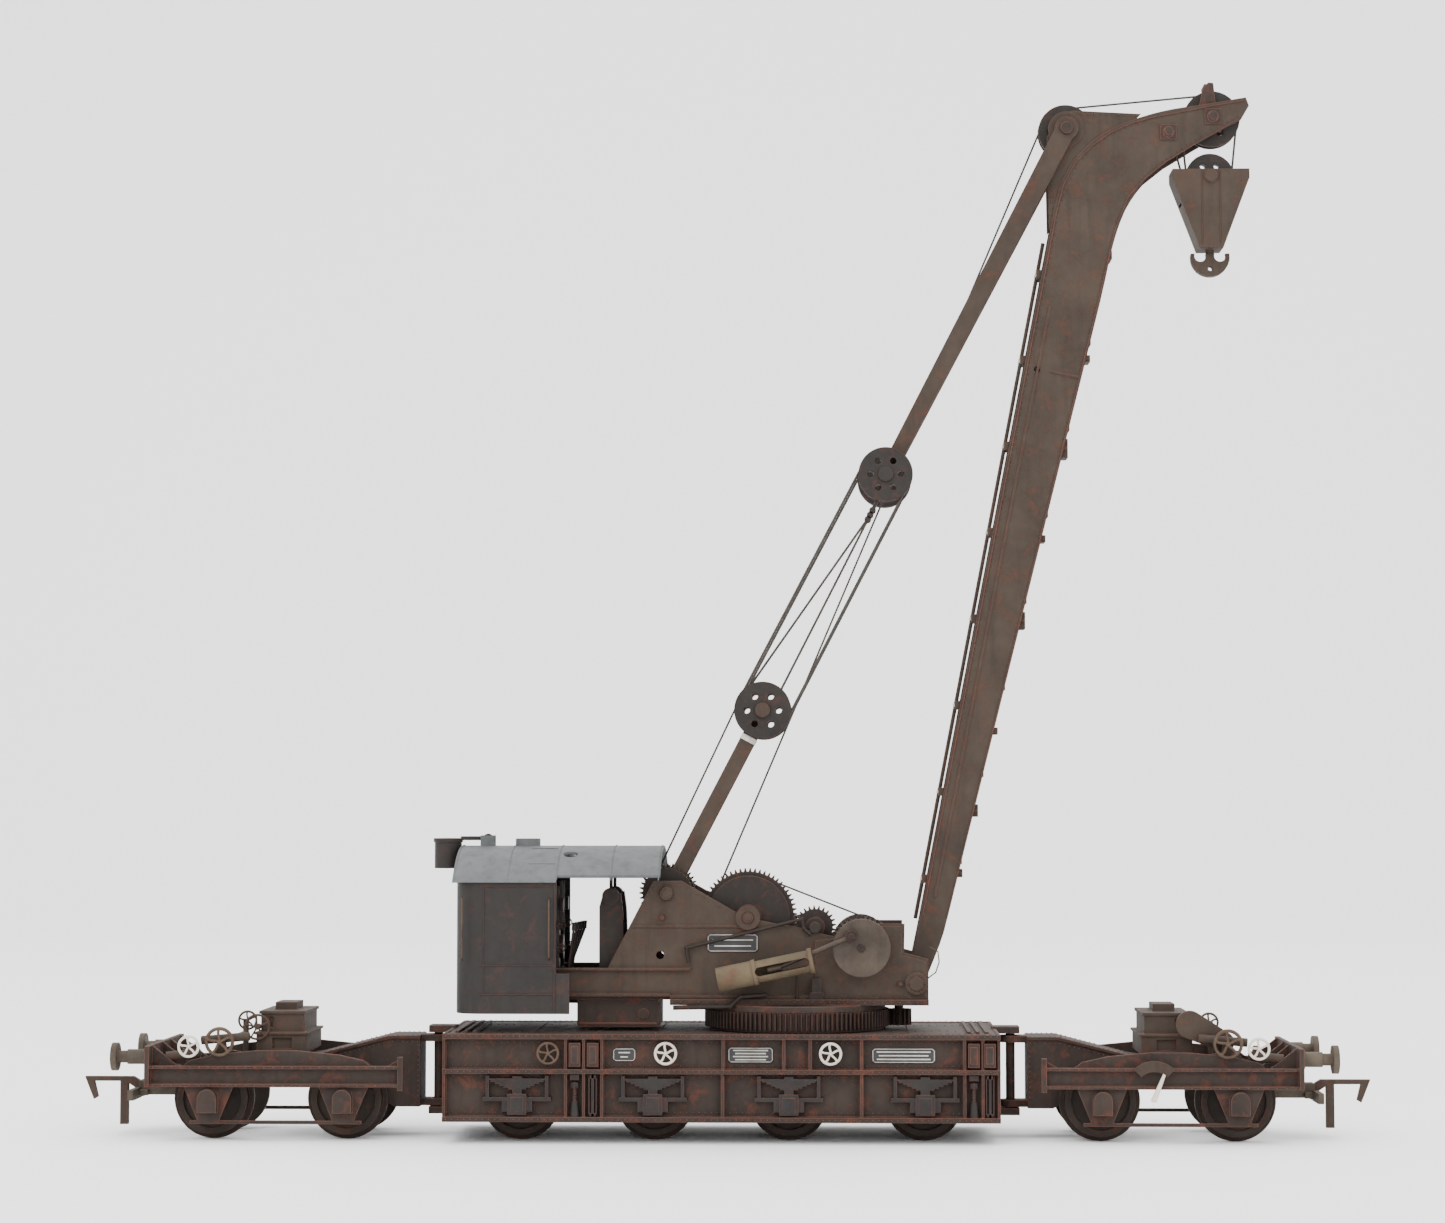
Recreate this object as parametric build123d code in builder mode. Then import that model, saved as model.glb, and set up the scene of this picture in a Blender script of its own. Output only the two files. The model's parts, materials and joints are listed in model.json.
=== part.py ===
from build123d import *
import os
from math import atan2, cos, hypot, pi, radians, sin

# A 1:76 display model of a railway steam breakdown crane: a four-axle crane carriage with a slewing
# superstructure and swan-neck jib, carried at both ends by relieving bogies on pinned girders.
# Millimetres. X runs along the track, Y across it, Z is up. The origin is the middle of the
# carriage, on the plane that the wheel flanges touch.

os.makedirs("parts", exist_ok=True)

# ------------------------------------------------------------------ driving dimensions: fits
running = 0.05  # radial clearance of a shaft in its bore
side_gap = 0.05  # gap beside a turning piece
sliding = 0.12  # gap around a propping girder in its opening
seam = 0.02  # gap that keeps two fixed pieces apart

# ------------------------------------------------------------------ driving dimensions: wheels
tread_r = 6.15
flange_r = 7.0
wheel_inner = 7.25  # half the back-to-back distance
flange_width = 0.8
tyre_width = 2.8
axle_r = 0.9
journal_end = 13.4
wheel_z = flange_r

# ------------------------------------------------------------------ driving dimensions: carriage
carriage_half = 47.8
carriage_axle_pitch = 23.3
panel_near = 14.8
panel_thick = 0.6
flange_edge = 17.0
frame_low = 3.8
frame_top = 18.8
sill = 0.9
waist_low = 12.0
waist_high = 12.8
deck_thick = 0.8
rib = 0.5
bearing_r = 1.9
bearing_long = 2.6
upper_rib_x = (-26.6, -23.5, -20.4, 0.4, 10.8, 15.3, 24.1, 41.7, 44.8)
lower_rib_x = (-26.6, -23.5, -20.4, 0.3, 24.1, 41.7, 44.8)
prop_x = (-25.05, -21.95, 43.25, 46.0)
prop_width = 2.0
prop_low = 13.2
prop_high = 17.3
post_x = 50.4  # hinge post of the relieving girder
post_r = 0.8
post_top = 19.2
claw_thick = 1.2

# ------------------------------------------------------------------ driving dimensions: girders
girder_start = 53.2
girder_half = 4.4
girder_skin = 0.7
girder_low = 5.2
girder_high = 17.6
tongue_high = 13.4
tongue_low = 11.2
bogie_x = 77.0
king_r = 1.5

# ------------------------------------------------------------------ driving dimensions: bogies
bogie_axle_pitch = 23.4
bogie_inner = 54.9
bogie_outer = 99.6
solebar_near = 13.2
solebar_far = 14.2
solebar_low = 9.4
solebar_high = 13.0
headstock_high = 16.4
buffer_y = 11.35
buffer_z = 14.35
buffer_face = 105.9
hook_pin_x = 98.2
hook_pin_z = 8.15
hook_tip = 113.2

# ------------------------------------------------------------------ driving dimensions: slewing
slew_x = 12.9
ring_module = 0.285
ring_teeth = 112
ring_low = 19.3
ring_high = 22.3
pinion_teeth = 14
pivot_r = 3.2
path_r = 15.6
base_low = 23.4
base_high = 24.4

# ------------------------------------------------------------------ driving dimensions: superstructure
cheek_near = 8.4
cheek_far = 9.2
tail_end = -44.0
tail_high = 29.7
nose = 35.8
drum_x, drum_z = 4.5, 38.4
crank_x, crank_z = 24.2, 33.35
foot_x, foot_z = 33.7, 27.1
peak_x, peak_z = -9.7, 42.6
hoist_module = 0.277
drum_teeth = 60
idler_teeth = 25
clutch_teeth = 38
derrick_teeth = 34
derrick_module = 0.275
gear_near = 5.0
gear_wide = 1.1
shaft_r = 0.95
shaft_end = 10.0
barrel_r = 6.6
rope_r = 0.16
fall_rope_r = 0.22
crank_r = 5.0
crank_near = 12.2
crank_thick = 1.0
throw_x, throw_z = -1.75, 2.05
engine_y = 14.0
engine_low = (-0.64, 27.87)
engine_high = (15.8, 31.3)
foot_pin_r = 1.2

# ------------------------------------------------------------------ driving dimensions: cab
cab_rear = -46.0
cab_front = -28.4
cab_half = 15.5
cab_low = 22.1
cab_high = 44.6
cab_wall = 0.7
cab_corner = 4.5
roof_rise = 6.2
roof_skin = 0.5
roof_front = -10.5
roof_overhang = 0.4
boiler_x = -36.6
boiler_r = 6.4
chimney_x = -41.8  # fold pin
chimney_rise = 1.3  # fold pin above the crown of the roof
chimney_r = 2.4
chimney_long = 5.3
chimney_reach = 7.1

# ------------------------------------------------------------------ driving dimensions: jib and tackle
jib_near = 2.7
jib_far = 3.3
jib_rim = 0.2
bar_near = 3.7
bar_far = 4.4
head_x, head_z = 87.0, 180.0
head_r = 5.0
guide_x, guide_z = 61.0, 177.9
guide_r = 4.8
mid_x, mid_z = 79.1, 177.25
sheave_half = 1.2
jib_pin_r = 0.9
block_near = 4.6
block_far = 6.6
lower_run = 36.1  # from the A-frame peak to the lower block
upper_run = 82.9  # from the A-frame peak to the upper block
lower_r = 5.0
upper_r = 4.8
stub_r = 0.8
lash = 0.4  # slack of the upper block's axle in the tie bars: the linkage opens here
hook_x = 86.6
hook_sheave_z = 169.4
hook_sheave_r = 4.35
hook_top = 170.7
hook_low = 156.6
hook_half = 3.1
hook_bottom = 151.8

tackle_angle = atan2(guide_z - peak_z, guide_x - peak_x)
lower_x = peak_x + lower_run * cos(tackle_angle)
lower_z = peak_z + lower_run * sin(tackle_angle)
upper_x = peak_x + upper_run * cos(tackle_angle)
upper_z = peak_z + upper_run * sin(tackle_angle)
roof_half = cab_half + roof_overhang
roof_top = cab_high + roof_rise
chimney_z = roof_top + chimney_rise


# ------------------------------------------------------------------ helpers
def block(xs, ys, zs, mode=Mode.ADD):
    """Rectangular block between two values on each axis."""
    with Locations(((xs[0] + xs[1]) / 2, (ys[0] + ys[1]) / 2, (zs[0] + zs[1]) / 2)):
        Box(xs[1] - xs[0], ys[1] - ys[0], zs[1] - zs[0], mode=mode)


def disc(x, z, radius, near, far, mode=Mode.ADD):
    """Round disc across the track, between two distances from the centre plane on the near side."""
    with BuildSketch(Plane.XZ.offset(near)) as face:
        with Locations((x, z)):
            Circle(radius)
    extrude(face.sketch, amount=far - near, mode=mode)


def plate(points, near, far, mode=Mode.ADD):
    """Flat plate cut to straight-sided outline, between two distances from the centre plane."""
    with BuildSketch(Plane.XZ.offset(near)) as face:
        with BuildLine():
            Polyline(*points, close=True)
        make_face()
    extrude(face.sketch, amount=far - near, mode=mode)


def post(x, y, radius, low, high, mode=Mode.ADD):
    """Upright round post."""
    with BuildSketch(Plane.XY.offset(low)) as face:
        with Locations((x, y)):
            Circle(radius)
    extrude(face.sketch, amount=high - low, mode=mode)


def rod(start, end, radius, mode=Mode.ADD):
    """Straight round rod or rope between two points."""
    run = Vector(end) - Vector(start)
    with BuildSketch(Plane(origin=start, z_dir=run)) as face:
        Circle(radius)
    extrude(face.sketch, amount=run.length, mode=mode)


def strip(start, end, width_start, width_end, near, far, mode=Mode.ADD):
    """Flat bar with round ends and straight tapering sides."""
    lean = atan2(end[1] - start[1], end[0] - start[0])
    across = (-sin(lean), cos(lean))
    corners = []
    ends = ((start, width_start, 1), (end, width_end, 1), (end, width_end, -1), (start, width_start, -1))
    for centre, width, sign in ends:
        corners.append((centre[0] + sign * across[0] * width / 2, centre[1] + sign * across[1] * width / 2))
    plate(corners, near, far, mode)
    disc(*start, width_start / 2, near, far, mode)
    disc(*end, width_end / 2, near, far, mode)


def other_side():
    """Repeat what is built so far on the other side of the centre plane."""
    mirror(about=Plane.XZ)


def gear_points(x, z, teeth, module, phase):
    """Corner points of a spur gear with straight-flanked teeth and a little backlash."""
    pitch_angle = 2 * pi / teeth
    tip_r = module * (teeth / 2 + 0.95)
    root_r = module * (teeth / 2 - 1.25)
    corners = []
    for tooth in range(teeth):
        for share, radius in ((-0.30, root_r), (-0.10, tip_r), (0.10, tip_r), (0.30, root_r)):
            angle = phase + (tooth + share) * pitch_angle
            corners.append((x + radius * cos(angle), z + radius * sin(angle)))
    return corners


def meshing_phase(phase, teeth, other_teeth, direction):
    """Tooth angle of a gear that meshes with the one given, which lies back along the direction."""
    pitch_angle = 2 * pi / teeth
    off = (phase - direction + pitch_angle / 2) % pitch_angle - pitch_angle / 2
    return direction + pi - off * teeth / other_teeth + pi / other_teeth


def sheave(x, z, radius, near, far, bore, groove=0.7):
    """Grooved rope wheel with six lightening holes."""
    lip = (far - near) * 0.22
    disc(x, z, radius - groove, near, far)
    disc(x, z, radius, near, near + lip)
    disc(x, z, radius, far - lip, far)
    for turn in range(6):
        angle = turn * pi / 3
        disc(x + 0.56 * radius * cos(angle), z + 0.56 * radius * sin(angle), 0.12 * radius, near, far,
             Mode.SUBTRACT)
    disc(x, z, bore, near, far, Mode.SUBTRACT)


def handwheel(x, z, radius, near, thick=0.5):
    """Brake or jack handwheel: rim, hub and five spokes."""
    rim = 0.16 * radius
    with BuildSketch(Plane.XZ.offset(near)) as face:
        with Locations((x, z)):
            Circle(radius)
            Circle(radius - rim, mode=Mode.SUBTRACT)
            Circle(0.22 * radius)
            with PolarLocations((radius - rim / 2) / 2, 5):
                Rectangle(radius - rim / 2, 0.14 * radius)
    extrude(face.sketch, amount=thick)


def save(piece, label):
    """Name a finished piece and write it."""
    piece.label = label
    export_step(piece, f"parts/{label}.step")


def save_both_ends(piece, label):
    """Write a piece of the right-hand end and its twin at the left-hand end."""
    twin = mirror(piece, about=Plane.YZ)
    save(twin, label + "_left")
    save(piece, label + "_right")


def wheelset(x, label):
    """Two flanged disc wheels on their axle."""
    wheel_outer = wheel_inner + tyre_width
    with BuildPart() as made:
        disc(x, wheel_z, flange_r, wheel_inner, wheel_inner + flange_width)
        disc(x, wheel_z, tread_r, wheel_inner, wheel_outer)
        disc(x, wheel_z, 0.82 * tread_r, wheel_outer - 0.7, wheel_outer, Mode.SUBTRACT)
        disc(x, wheel_z, 0.30 * tread_r, wheel_outer - 0.7, wheel_outer + 0.2)
        other_side()
        disc(x, wheel_z, axle_r, -journal_end, journal_end)
    save(made.part, label)


# ------------------------------------------------------------------ carriage
carriage_axles = [carriage_axle_pitch * step for step in (-1.5, -0.5, 0.5, 1.5)]
panel_far = panel_near + panel_thick
end_inner = carriage_half - panel_thick

with BuildPart() as carriage_frame:
    # side girders: a recessed web with top, middle and bottom flanges and upright ribs
    block((-carriage_half, carriage_half), (-panel_far, -panel_near), (frame_low, frame_top))
    for low, high in ((frame_low, frame_low + sill), (waist_low, waist_high), (frame_top - sill, frame_top)):
        block((-carriage_half, carriage_half), (-flange_edge, -panel_near), (low, high))
    for x in upper_rib_x + (carriage_half - rib / 2, -carriage_half + rib / 2):
        block((x - rib / 2, x + rib / 2), (-flange_edge + 0.3, -panel_near), (waist_low, frame_top))
    for x in lower_rib_x + (carriage_half - rib / 2, -carriage_half + rib / 2):
        block((x - rib / 2, x + rib / 2), (-flange_edge + 0.3, -panel_near), (frame_low, waist_high))
    # axle bearings behind the web
    for x in carriage_axles:
        disc(x, wheel_z, bearing_r, panel_near - bearing_long, panel_near)
        disc(x, wheel_z, axle_r + running, panel_near - bearing_long, journal_end + side_gap, Mode.SUBTRACT)
    # openings for the propping girders
    for x in prop_x:
        block((x - prop_width / 2 - sliding, x + prop_width / 2 + sliding), (-flange_edge, -panel_near),
              (prop_low - sliding, prop_high + sliding), Mode.SUBTRACT)
    other_side()
    # end plates, with the claws that hold the hinge posts
    for end in (-1, 1):
        inner, outer = sorted((end * end_inner, end * carriage_half))
        block((inner, outer), (-panel_near + seam, panel_near - seam), (frame_low, frame_top))
        claw = sorted((end * end_inner, end * (post_x + 1.5)))
        for low in (frame_low, post_top - claw_thick):
            block(claw, (-2.2, 2.2), (low, low + claw_thick))
        post(end * post_x, 0, post_r, frame_low, post_top)
save(carriage_frame.part, "carriage_frame")

deck_low = frame_top - sill
with BuildPart() as carriage_deck:
    block((-end_inner + seam, end_inner - seam), (-panel_near + seam, panel_near - seam),
          (deck_low, deck_low + deck_thick))
    for end in (-1, 1):
        for step in range(3):
            x = end * (end_inner - 1.6 - 1.5 * step)
            block((x - 0.3, x + 0.3), (-panel_near + 1.2, panel_near - 1.2),
                  (deck_low + deck_thick, frame_top + 0.3))
save(carriage_deck.part, "carriage_deck")

spring_top = 11.2
spring_y = (-flange_edge + 0.5, -panel_far - seam)
with BuildPart() as axlebox_springs:
    for x in carriage_axles:
        # laminated spring: leaves shorter towards the buckle, hung at both ends
        for leaf in range(6):
            half = 5.3 - 0.75 * leaf
            high = spring_top - 0.32 * leaf
            block((x - half, x + half), spring_y, (high - 0.32, high))
        block((x - 0.8, x + 0.8), spring_y, (spring_top - 2.9, spring_top + 0.4))
        for end in (-1, 1):
            hanger = x + end * 5.1
            block((hanger - 0.3, hanger + 0.3), spring_y, (7.3, spring_top + 0.5))
        block((x - 5.85, x + 5.85), spring_y, (7.3, 8.0))
        # axlebox with its cover
        block((x - 1.65, x + 1.65), (-flange_edge + 0.1, -panel_far - seam), (5.0, 8.6))
        for end in (-1, 1):
            block((x + end * 2.1 - 0.5, x + end * 2.1 + 0.5), spring_y, (5.5, 7.4))
        block((x - 1.1, x + 1.1), (-flange_edge - 0.0, -flange_edge + 0.2), (5.5, 8.0))
    other_side()
save(axlebox_springs.part, "axlebox_springs")

with BuildPart() as jacks_and_handwheels:
    # a screw jack and a packing column stand under the propping girders at each end
    for x in (prop_x[0], prop_x[2]):
        post(x, -16.2, 0.75, frame_low + sill + seam, waist_low - 2.2)
        post(x, -16.2, 0.45, waist_low - 2.2, waist_low - seam)
        post(x, -16.2, 0.62, waist_low - 1.6, waist_low - 0.9)
    for x in (prop_x[1], prop_x[3]):
        block((x - 0.9, x + 0.9), (-16.6, -16.3), (frame_low + sill + seam, waist_low - seam))
        block((x - 0.3, x + 0.3), (-16.3, -15.9), (frame_low + sill + seam, waist_low - seam))
        block((x - 0.9, x + 0.9), (-15.9, -15.6), (frame_low + sill + seam, waist_low - seam))
    # handwheels on the web
    for x in (-29.65, -9.45, 18.8):
        disc(x, 15.5, 0.35, panel_far + seam, flange_edge - 0.45)
        handwheel(x, 15.5, 2.0, flange_edge - 0.5, 0.45)
    other_side()
save(jacks_and_handwheels.part, "jacks_and_handwheels")

for number, x in enumerate(carriage_axles, 1):
    wheelset(x, f"carriage_wheelset_{number}")

for number, x in enumerate(prop_x, 1):
    # box girder that slides out sideways; its outer end has a shoe plate
    with BuildPart() as propping_girder:
        block((x - prop_width / 2, x + prop_width / 2), (-flange_edge + 0.2, flange_edge - 0.2),
              (prop_low, prop_high))
        block((x - prop_width / 2 + 0.4, x + prop_width / 2 - 0.4), (-flange_edge, flange_edge),
              (prop_low + 0.6, prop_high - 0.6))
        block((x - prop_width / 2 + 0.4, x + prop_width / 2 - 0.4), (-flange_edge + 3, flange_edge - 3),
              (prop_low + 0.6, prop_high - 0.6), Mode.SUBTRACT)
    save(propping_girder.part, f"propping_girder_{number}")

# ------------------------------------------------------------------ slewing ring, pivot and pinion
ring_pitch_r = ring_module * ring_teeth / 2
pinion_pitch_r = ring_module * pinion_teeth / 2
pinion_x = slew_x + ring_pitch_r + pinion_pitch_r
pinion_phase = meshing_phase(0, ring_teeth, pinion_teeth, 0)

with BuildPart() as slewing_ring:
    post(slew_x, 0, panel_near - 0.2, deck_low + deck_thick + seam, ring_low)
    post(slew_x, 0, path_r, frame_top + 0.1, ring_high)
    with BuildSketch(Plane.XY.offset(ring_low)) as teeth_face:
        with BuildLine():
            Polyline(*gear_points(slew_x, 0, ring_teeth, ring_module, 0), close=True)
        make_face()
    extrude(teeth_face.sketch, amount=ring_high - ring_low)
    post(slew_x, 0, path_r - 3.2, deck_low + deck_thick + seam, ring_high, Mode.SUBTRACT)
    # centre pivot on its foot plate
    post(slew_x, 0, pivot_r + 3, deck_low + deck_thick + seam, ring_low)
    post(slew_x, 0, pivot_r, ring_low, base_high + 1.6)
save(slewing_ring.part, "slewing_ring")

with BuildPart() as slewing_pinion:
    with BuildSketch(Plane.XY.offset(ring_low + 0.1)) as teeth_face:
        with BuildLine():
            Polyline(*gear_points(pinion_x, 0, pinion_teeth, ring_module, pinion_phase), close=True)
        make_face()
    extrude(teeth_face.sketch, amount=ring_high - ring_low - 0.2)
    post(pinion_x, 0, 0.8, ring_high - 0.2, base_high + 0.9)
    post(pinion_x, 0, 1.3, base_high + side_gap, base_high + 0.9)
save(slewing_pinion.part, "slewing_pinion")

# ------------------------------------------------------------------ relieving girders and bogies
with BuildPart() as relieving_girder:
    # hollow riveted box that drops from the carriage end to a low tongue under the load box
    tongue_end = bogie_x + 4.5
    axle_clear = wheel_z + axle_r + 0.8
    sides = [(girder_start, girder_low), (girder_start, girder_high), (58.5, girder_high),
             (71.4, tongue_high + 0.9), (tongue_end, tongue_high), (tongue_end, tongue_low),
             (72.0, tongue_low), (63.6, axle_clear), (57.6, girder_low)]
    plate(sides, girder_half - girder_skin, girder_half)
    other_side()
    flanges = [(girder_start, girder_high - 0.5), (girder_start, girder_high), (58.5, girder_high),
               (71.4, tongue_high + 0.9), (tongue_end, tongue_high), (tongue_end, tongue_high - 0.5),
               (71.4, tongue_high + 0.4), (58.5, girder_high - 0.5)]
    plate(flanges, -girder_half - 0.4, girder_half + 0.4)
    plate([(girder_start, girder_low), (girder_start, girder_low + 0.6), (57.3, girder_low + 0.6),
           (63.4, axle_clear + 0.6), (71.8, tongue_low + 0.6), (tongue_end, tongue_low + 0.6),
           (tongue_end, tongue_low), (72.0, tongue_low), (63.6, axle_clear), (57.6, girder_low)],
          -girder_half, girder_half)
    block((girder_start, girder_start + 0.7), (-girder_half, girder_half), (girder_low, girder_high))
    # hinge arms with an eye around the post
    for low in (girder_low, girder_high - 1.2):
        block((post_x, girder_start + 0.4), (-1.9, 1.9), (low, low + 1.2))
        post(post_x, 0, 1.9, low, low + 1.2)
        post(post_x, 0, post_r + running, low, low + 1.2, Mode.SUBTRACT)
    # king pin hole through the tongue
    post(bogie_x, 0, king_r + running, 11.0, tongue_high + 1, Mode.SUBTRACT)
save_both_ends(relieving_girder.part, "relieving_girder")

bogie_axles = (bogie_x - bogie_axle_pitch / 2, bogie_x + bogie_axle_pitch / 2)
saddle_low = 10.2

with BuildPart() as bogie_frame:
    # channel solebars
    block((bogie_inner, bogie_outer - 0.8), (-solebar_near - 0.4, -solebar_near), (solebar_low, solebar_high))
    for low in (solebar_low, solebar_high - 0.5):
        block((bogie_inner, bogie_outer - 0.8), (-solebar_far - 0.4, -solebar_near), (low, low + 0.5))
    block((bogie_inner, bogie_inner + 0.9), (-solebar_far - 0.4, -solebar_near),
          (solebar_low - 0.6, solebar_high + 1.6))
    plate([(bogie_inner, solebar_high), (bogie_inner, solebar_high + 1.6), (bogie_inner + 2.8, solebar_high)],
          solebar_near, solebar_near + 0.6)
    # horn guides with their axleboxes, the bearing bored from inside
    for x in bogie_axles:
        plate([(x - 4.3, solebar_low), (x + 4.3, solebar_low), (x + 1.9, 3.6), (x - 1.9, 3.6)],
              solebar_near, solebar_near + 0.5)
        block((x - 1.65, x + 1.65), (-15.5, -solebar_near), (5.0, 7.6))
        disc(x, 7.4, 1.65, solebar_near, 15.5)
        disc(x, wheel_z, axle_r + running, solebar_near, journal_end + side_gap, Mode.SUBTRACT)
    block((bogie_axles[0] - 3.2, bogie_axles[1] + 3.2), (-solebar_near - 0.5, -solebar_near), (3.0, 3.6))
    # spring bracket: a low casting that humps over each axlebox and rises to the load box
    plate([(bogie_axles[0] - 4.6, solebar_high), (bogie_axles[0] - 3.4, solebar_high + 0.9),
           (bogie_axles[0] + 1.0, solebar_high + 1.9), (bogie_x - 3.4, solebar_high + 2.6),
           (bogie_x + 3.4, solebar_high + 2.6), (bogie_axles[1] - 1.0, solebar_high + 1.9),
           (bogie_axles[1] + 3.4, solebar_high + 0.9), (bogie_axles[1] + 4.6, solebar_high)],
          solebar_near - 0.6, solebar_near)
    other_side()
    # end cross members: outer headstock with sloping gussets, inner low cross channel
    block((bogie_outer - 0.8, bogie_outer), (-15.2, 15.2), (solebar_low, headstock_high))
    for y in (-12.2, -3.4, 3.4, 12.2):
        with BuildSketch(Plane.XZ.offset(-y - 0.3)) as gusset:
            with BuildLine():
                Polyline((bogie_outer - 0.8, solebar_high - 1), (bogie_outer - 0.8, headstock_high),
                         (bogie_outer - 6.5, solebar_high - 1), close=True)
            make_face()
        extrude(gusset.sketch, amount=0.6)
    block((bogie_outer - 4.2, bogie_outer - 0.8), (-solebar_near, solebar_near),
          (solebar_high - 1.4, solebar_high - 0.6))
    # bolster across the middle, with the king pin for the girder
    block((bogie_x - 2.6, bogie_x + 2.6), (-solebar_near, solebar_near), (saddle_low - 0.6, saddle_low + 0.4))
    post(bogie_x, 0, king_r, saddle_low, tongue_high + 0.6)
save_both_ends(bogie_frame.part, "bogie_frame")

with BuildPart() as load_box:
    # bridge over the girder tongue, resting on the bolster, with the spring box on top
    for side in (-1, 1):
        ys = sorted((side * (girder_half + 1.2), side * (girder_half + 3.2)))
        block((bogie_x - 2.0, bogie_x + 2.0), ys, (saddle_low + 0.4 + seam, 14.8))
    block((bogie_x - 4.4, bogie_x + 4.4), (-8.2, 8.2), (14.8, 18.2))
    block((bogie_x - 4.7, bogie_x + 4.7), (-8.6, 8.6), (18.0, 18.4))
    block((bogie_x - 3.8, bogie_x + 3.8), (-7.0, 7.0), (18.3, 21.6))
    block((bogie_x - 4.1, bogie_x + 4.1), (-7.3, 7.3), (21.5, 22.0))
    block((bogie_x - 1.9, bogie_x + 1.9), (-3.4, 3.4), (22.0, 23.3))
    for y in (-7.0, 7.0):
        disc(bogie_x + 2.0, 20.6, 0.5, -y - 0.4, -y + 0.4, Mode.SUBTRACT)
        block((bogie_x + 1.75, bogie_x + 2.25), (y - 0.4, y + 0.4), (19.2, 20.6), Mode.SUBTRACT)
    for y in (-8.2, 8.2):
        block((bogie_x - 1.8, bogie_x + 1.6), (y - 0.6, y + 0.6), (15.5, 17.4), Mode.SUBTRACT)
save_both_ends(load_box.part, "load_box")

wheel_stand_y = 11.4
with BuildPart() as bogie_handwheels:
    # white brake wheel, larger release wheel and small rear wheel on one cross shaft stand
    stand_x = 86.8
    for y in (-wheel_stand_y, wheel_stand_y):
        block((stand_x - 1.6, stand_x + 5.6), (y - 0.5, y + 0.5), (solebar_high - 0.6 + seam, 15.6))
    disc(stand_x, 17.1, 0.45, -wheel_stand_y - 1.2, 13.8)
    block((stand_x - 0.6, stand_x + 0.6), (-wheel_stand_y - 0.5, -wheel_stand_y + 0.5), (15.4, 17.1))
    block((stand_x - 0.6, stand_x + 0.6), (wheel_stand_y - 0.5, wheel_stand_y + 0.5), (15.4, 17.1))
    handwheel(stand_x, 17.1, 2.6, 13.7)
    disc(stand_x + 5.0, 16.4, 0.4, -wheel_stand_y - 1.2, 15.2)
    block((stand_x + 4.4, stand_x + 5.6), (-wheel_stand_y - 0.5, -wheel_stand_y + 0.5), (15.4, 16.4))
    block((stand_x + 4.4, stand_x + 5.6), (wheel_stand_y - 0.5, wheel_stand_y + 0.5), (15.4, 16.4))
    handwheel(stand_x + 5.0, 16.4, 1.95, 15.0)
    handwheel(stand_x, 19.0, 1.8, -wheel_stand_y - 2.2)
    disc(stand_x, 19.0, 0.4, -wheel_stand_y - 2.0, -wheel_stand_y + 0.6)
    block((stand_x - 0.5, stand_x + 0.5), (wheel_stand_y - 0.5, wheel_stand_y + 0.5), (17.0, 19.0))
save_both_ends(bogie_handwheels.part, "bogie_handwheels")

with BuildPart() as draw_gear:
    # buffers: flanged housing, ram and round head
    for y in (-buffer_y, buffer_y):
        with BuildSketch(Plane.YZ.offset(bogie_outer + seam)) as housing:
            with Locations((y, buffer_z)):
                Circle(1.7)
        extrude(housing.sketch, amount=0.5)
        rod((bogie_outer + seam, y, buffer_z), (103.2, y, buffer_z), 1.3)
        rod((103.2, y, buffer_z), (buffer_face - 0.8, y, buffer_z), 1.05)
        rod((buffer_face - 1.0, y, buffer_z), (buffer_face, y, buffer_z), 2.43)
    # draw bar with its bumper below the headstock
    block((bogie_outer - 3.6, 103.4), (-1.6, 1.6), (6.9, solebar_low - seam))
    block((103.0, 104.0), (-8.0, 8.0), (6.4, 8.2))
    for side in (-1, 1):
        ys = sorted((side * 1.6, side * 3.0))
        block((101.5, 103.4), ys, (6.9, 7.9))
    # slot for the coupling hook, and its pin
    block((bogie_outer - 3.0, 104.1), (-0.75, 0.75), (6.2, 9.5), Mode.SUBTRACT)
    disc(hook_pin_x, hook_pin_z, 0.35, -1.4, 1.4)
save_both_ends(draw_gear.part, "draw_gear")

with BuildPart() as coupling_hook:
    plate([(hook_pin_x - 0.9, 7.5), (hook_pin_x - 0.9, 8.8), (102.6, 8.8), (104.6, 10.0), (hook_tip, 10.0),
           (111.6, 6.0), (110.9, 6.4), (111.6, 9.2), (106.9, 9.2), (106.9, 1.6), (105.5, 1.6), (105.5, 8.9),
           (103.4, 7.5)], -0.6, 0.6)
    disc(hook_pin_x, hook_pin_z, 0.35 + running, -0.6, 0.6, Mode.SUBTRACT)
save_both_ends(coupling_hook.part, "coupling_hook")

for end, side_name in ((-1, "left"), (1, "right")):
    for x, place in zip(bogie_axles, ("inner", "outer")):
        wheelset(end * x, f"bogie_wheelset_{side_name}_{place}")

# ------------------------------------------------------------------ superstructure base and cheeks
with BuildPart() as base_plate:
    block((-9.0, nose), (-11.0, 11.0), (base_low, base_high))
    block((tail_end, -8.0), (-cheek_near + seam, cheek_near - seam), (base_high - 0.2, base_high + 0.8))
    post(slew_x, 0, path_r, ring_high + side_gap, base_low)
    post(slew_x, 0, path_r - 3.4, ring_high, base_low, Mode.SUBTRACT)
    post(slew_x, 0, pivot_r + 2, base_high, base_high + 1.2)
    post(slew_x, 0, pivot_r + running, base_low - 0.1, base_high + 1.3, Mode.SUBTRACT)
    post(pinion_x, 0, 0.8 + running, base_low, base_high, Mode.SUBTRACT)
save(base_plate.part, "base_plate")

idler_reach = hoist_module * (drum_teeth + idler_teeth) / 2
clutch_reach = hoist_module * (idler_teeth + clutch_teeth) / 2
span = hypot(crank_x - drum_x, crank_z - drum_z)
along = (idler_reach**2 - clutch_reach**2 + span**2) / (2 * span)
above = (idler_reach**2 - along**2) ** 0.5
run_x, run_z = (crank_x - drum_x) / span, (crank_z - drum_z) / span
idler_x = drum_x + along * run_x - above * run_z
idler_z = drum_z + along * run_z + above * run_x

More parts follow.
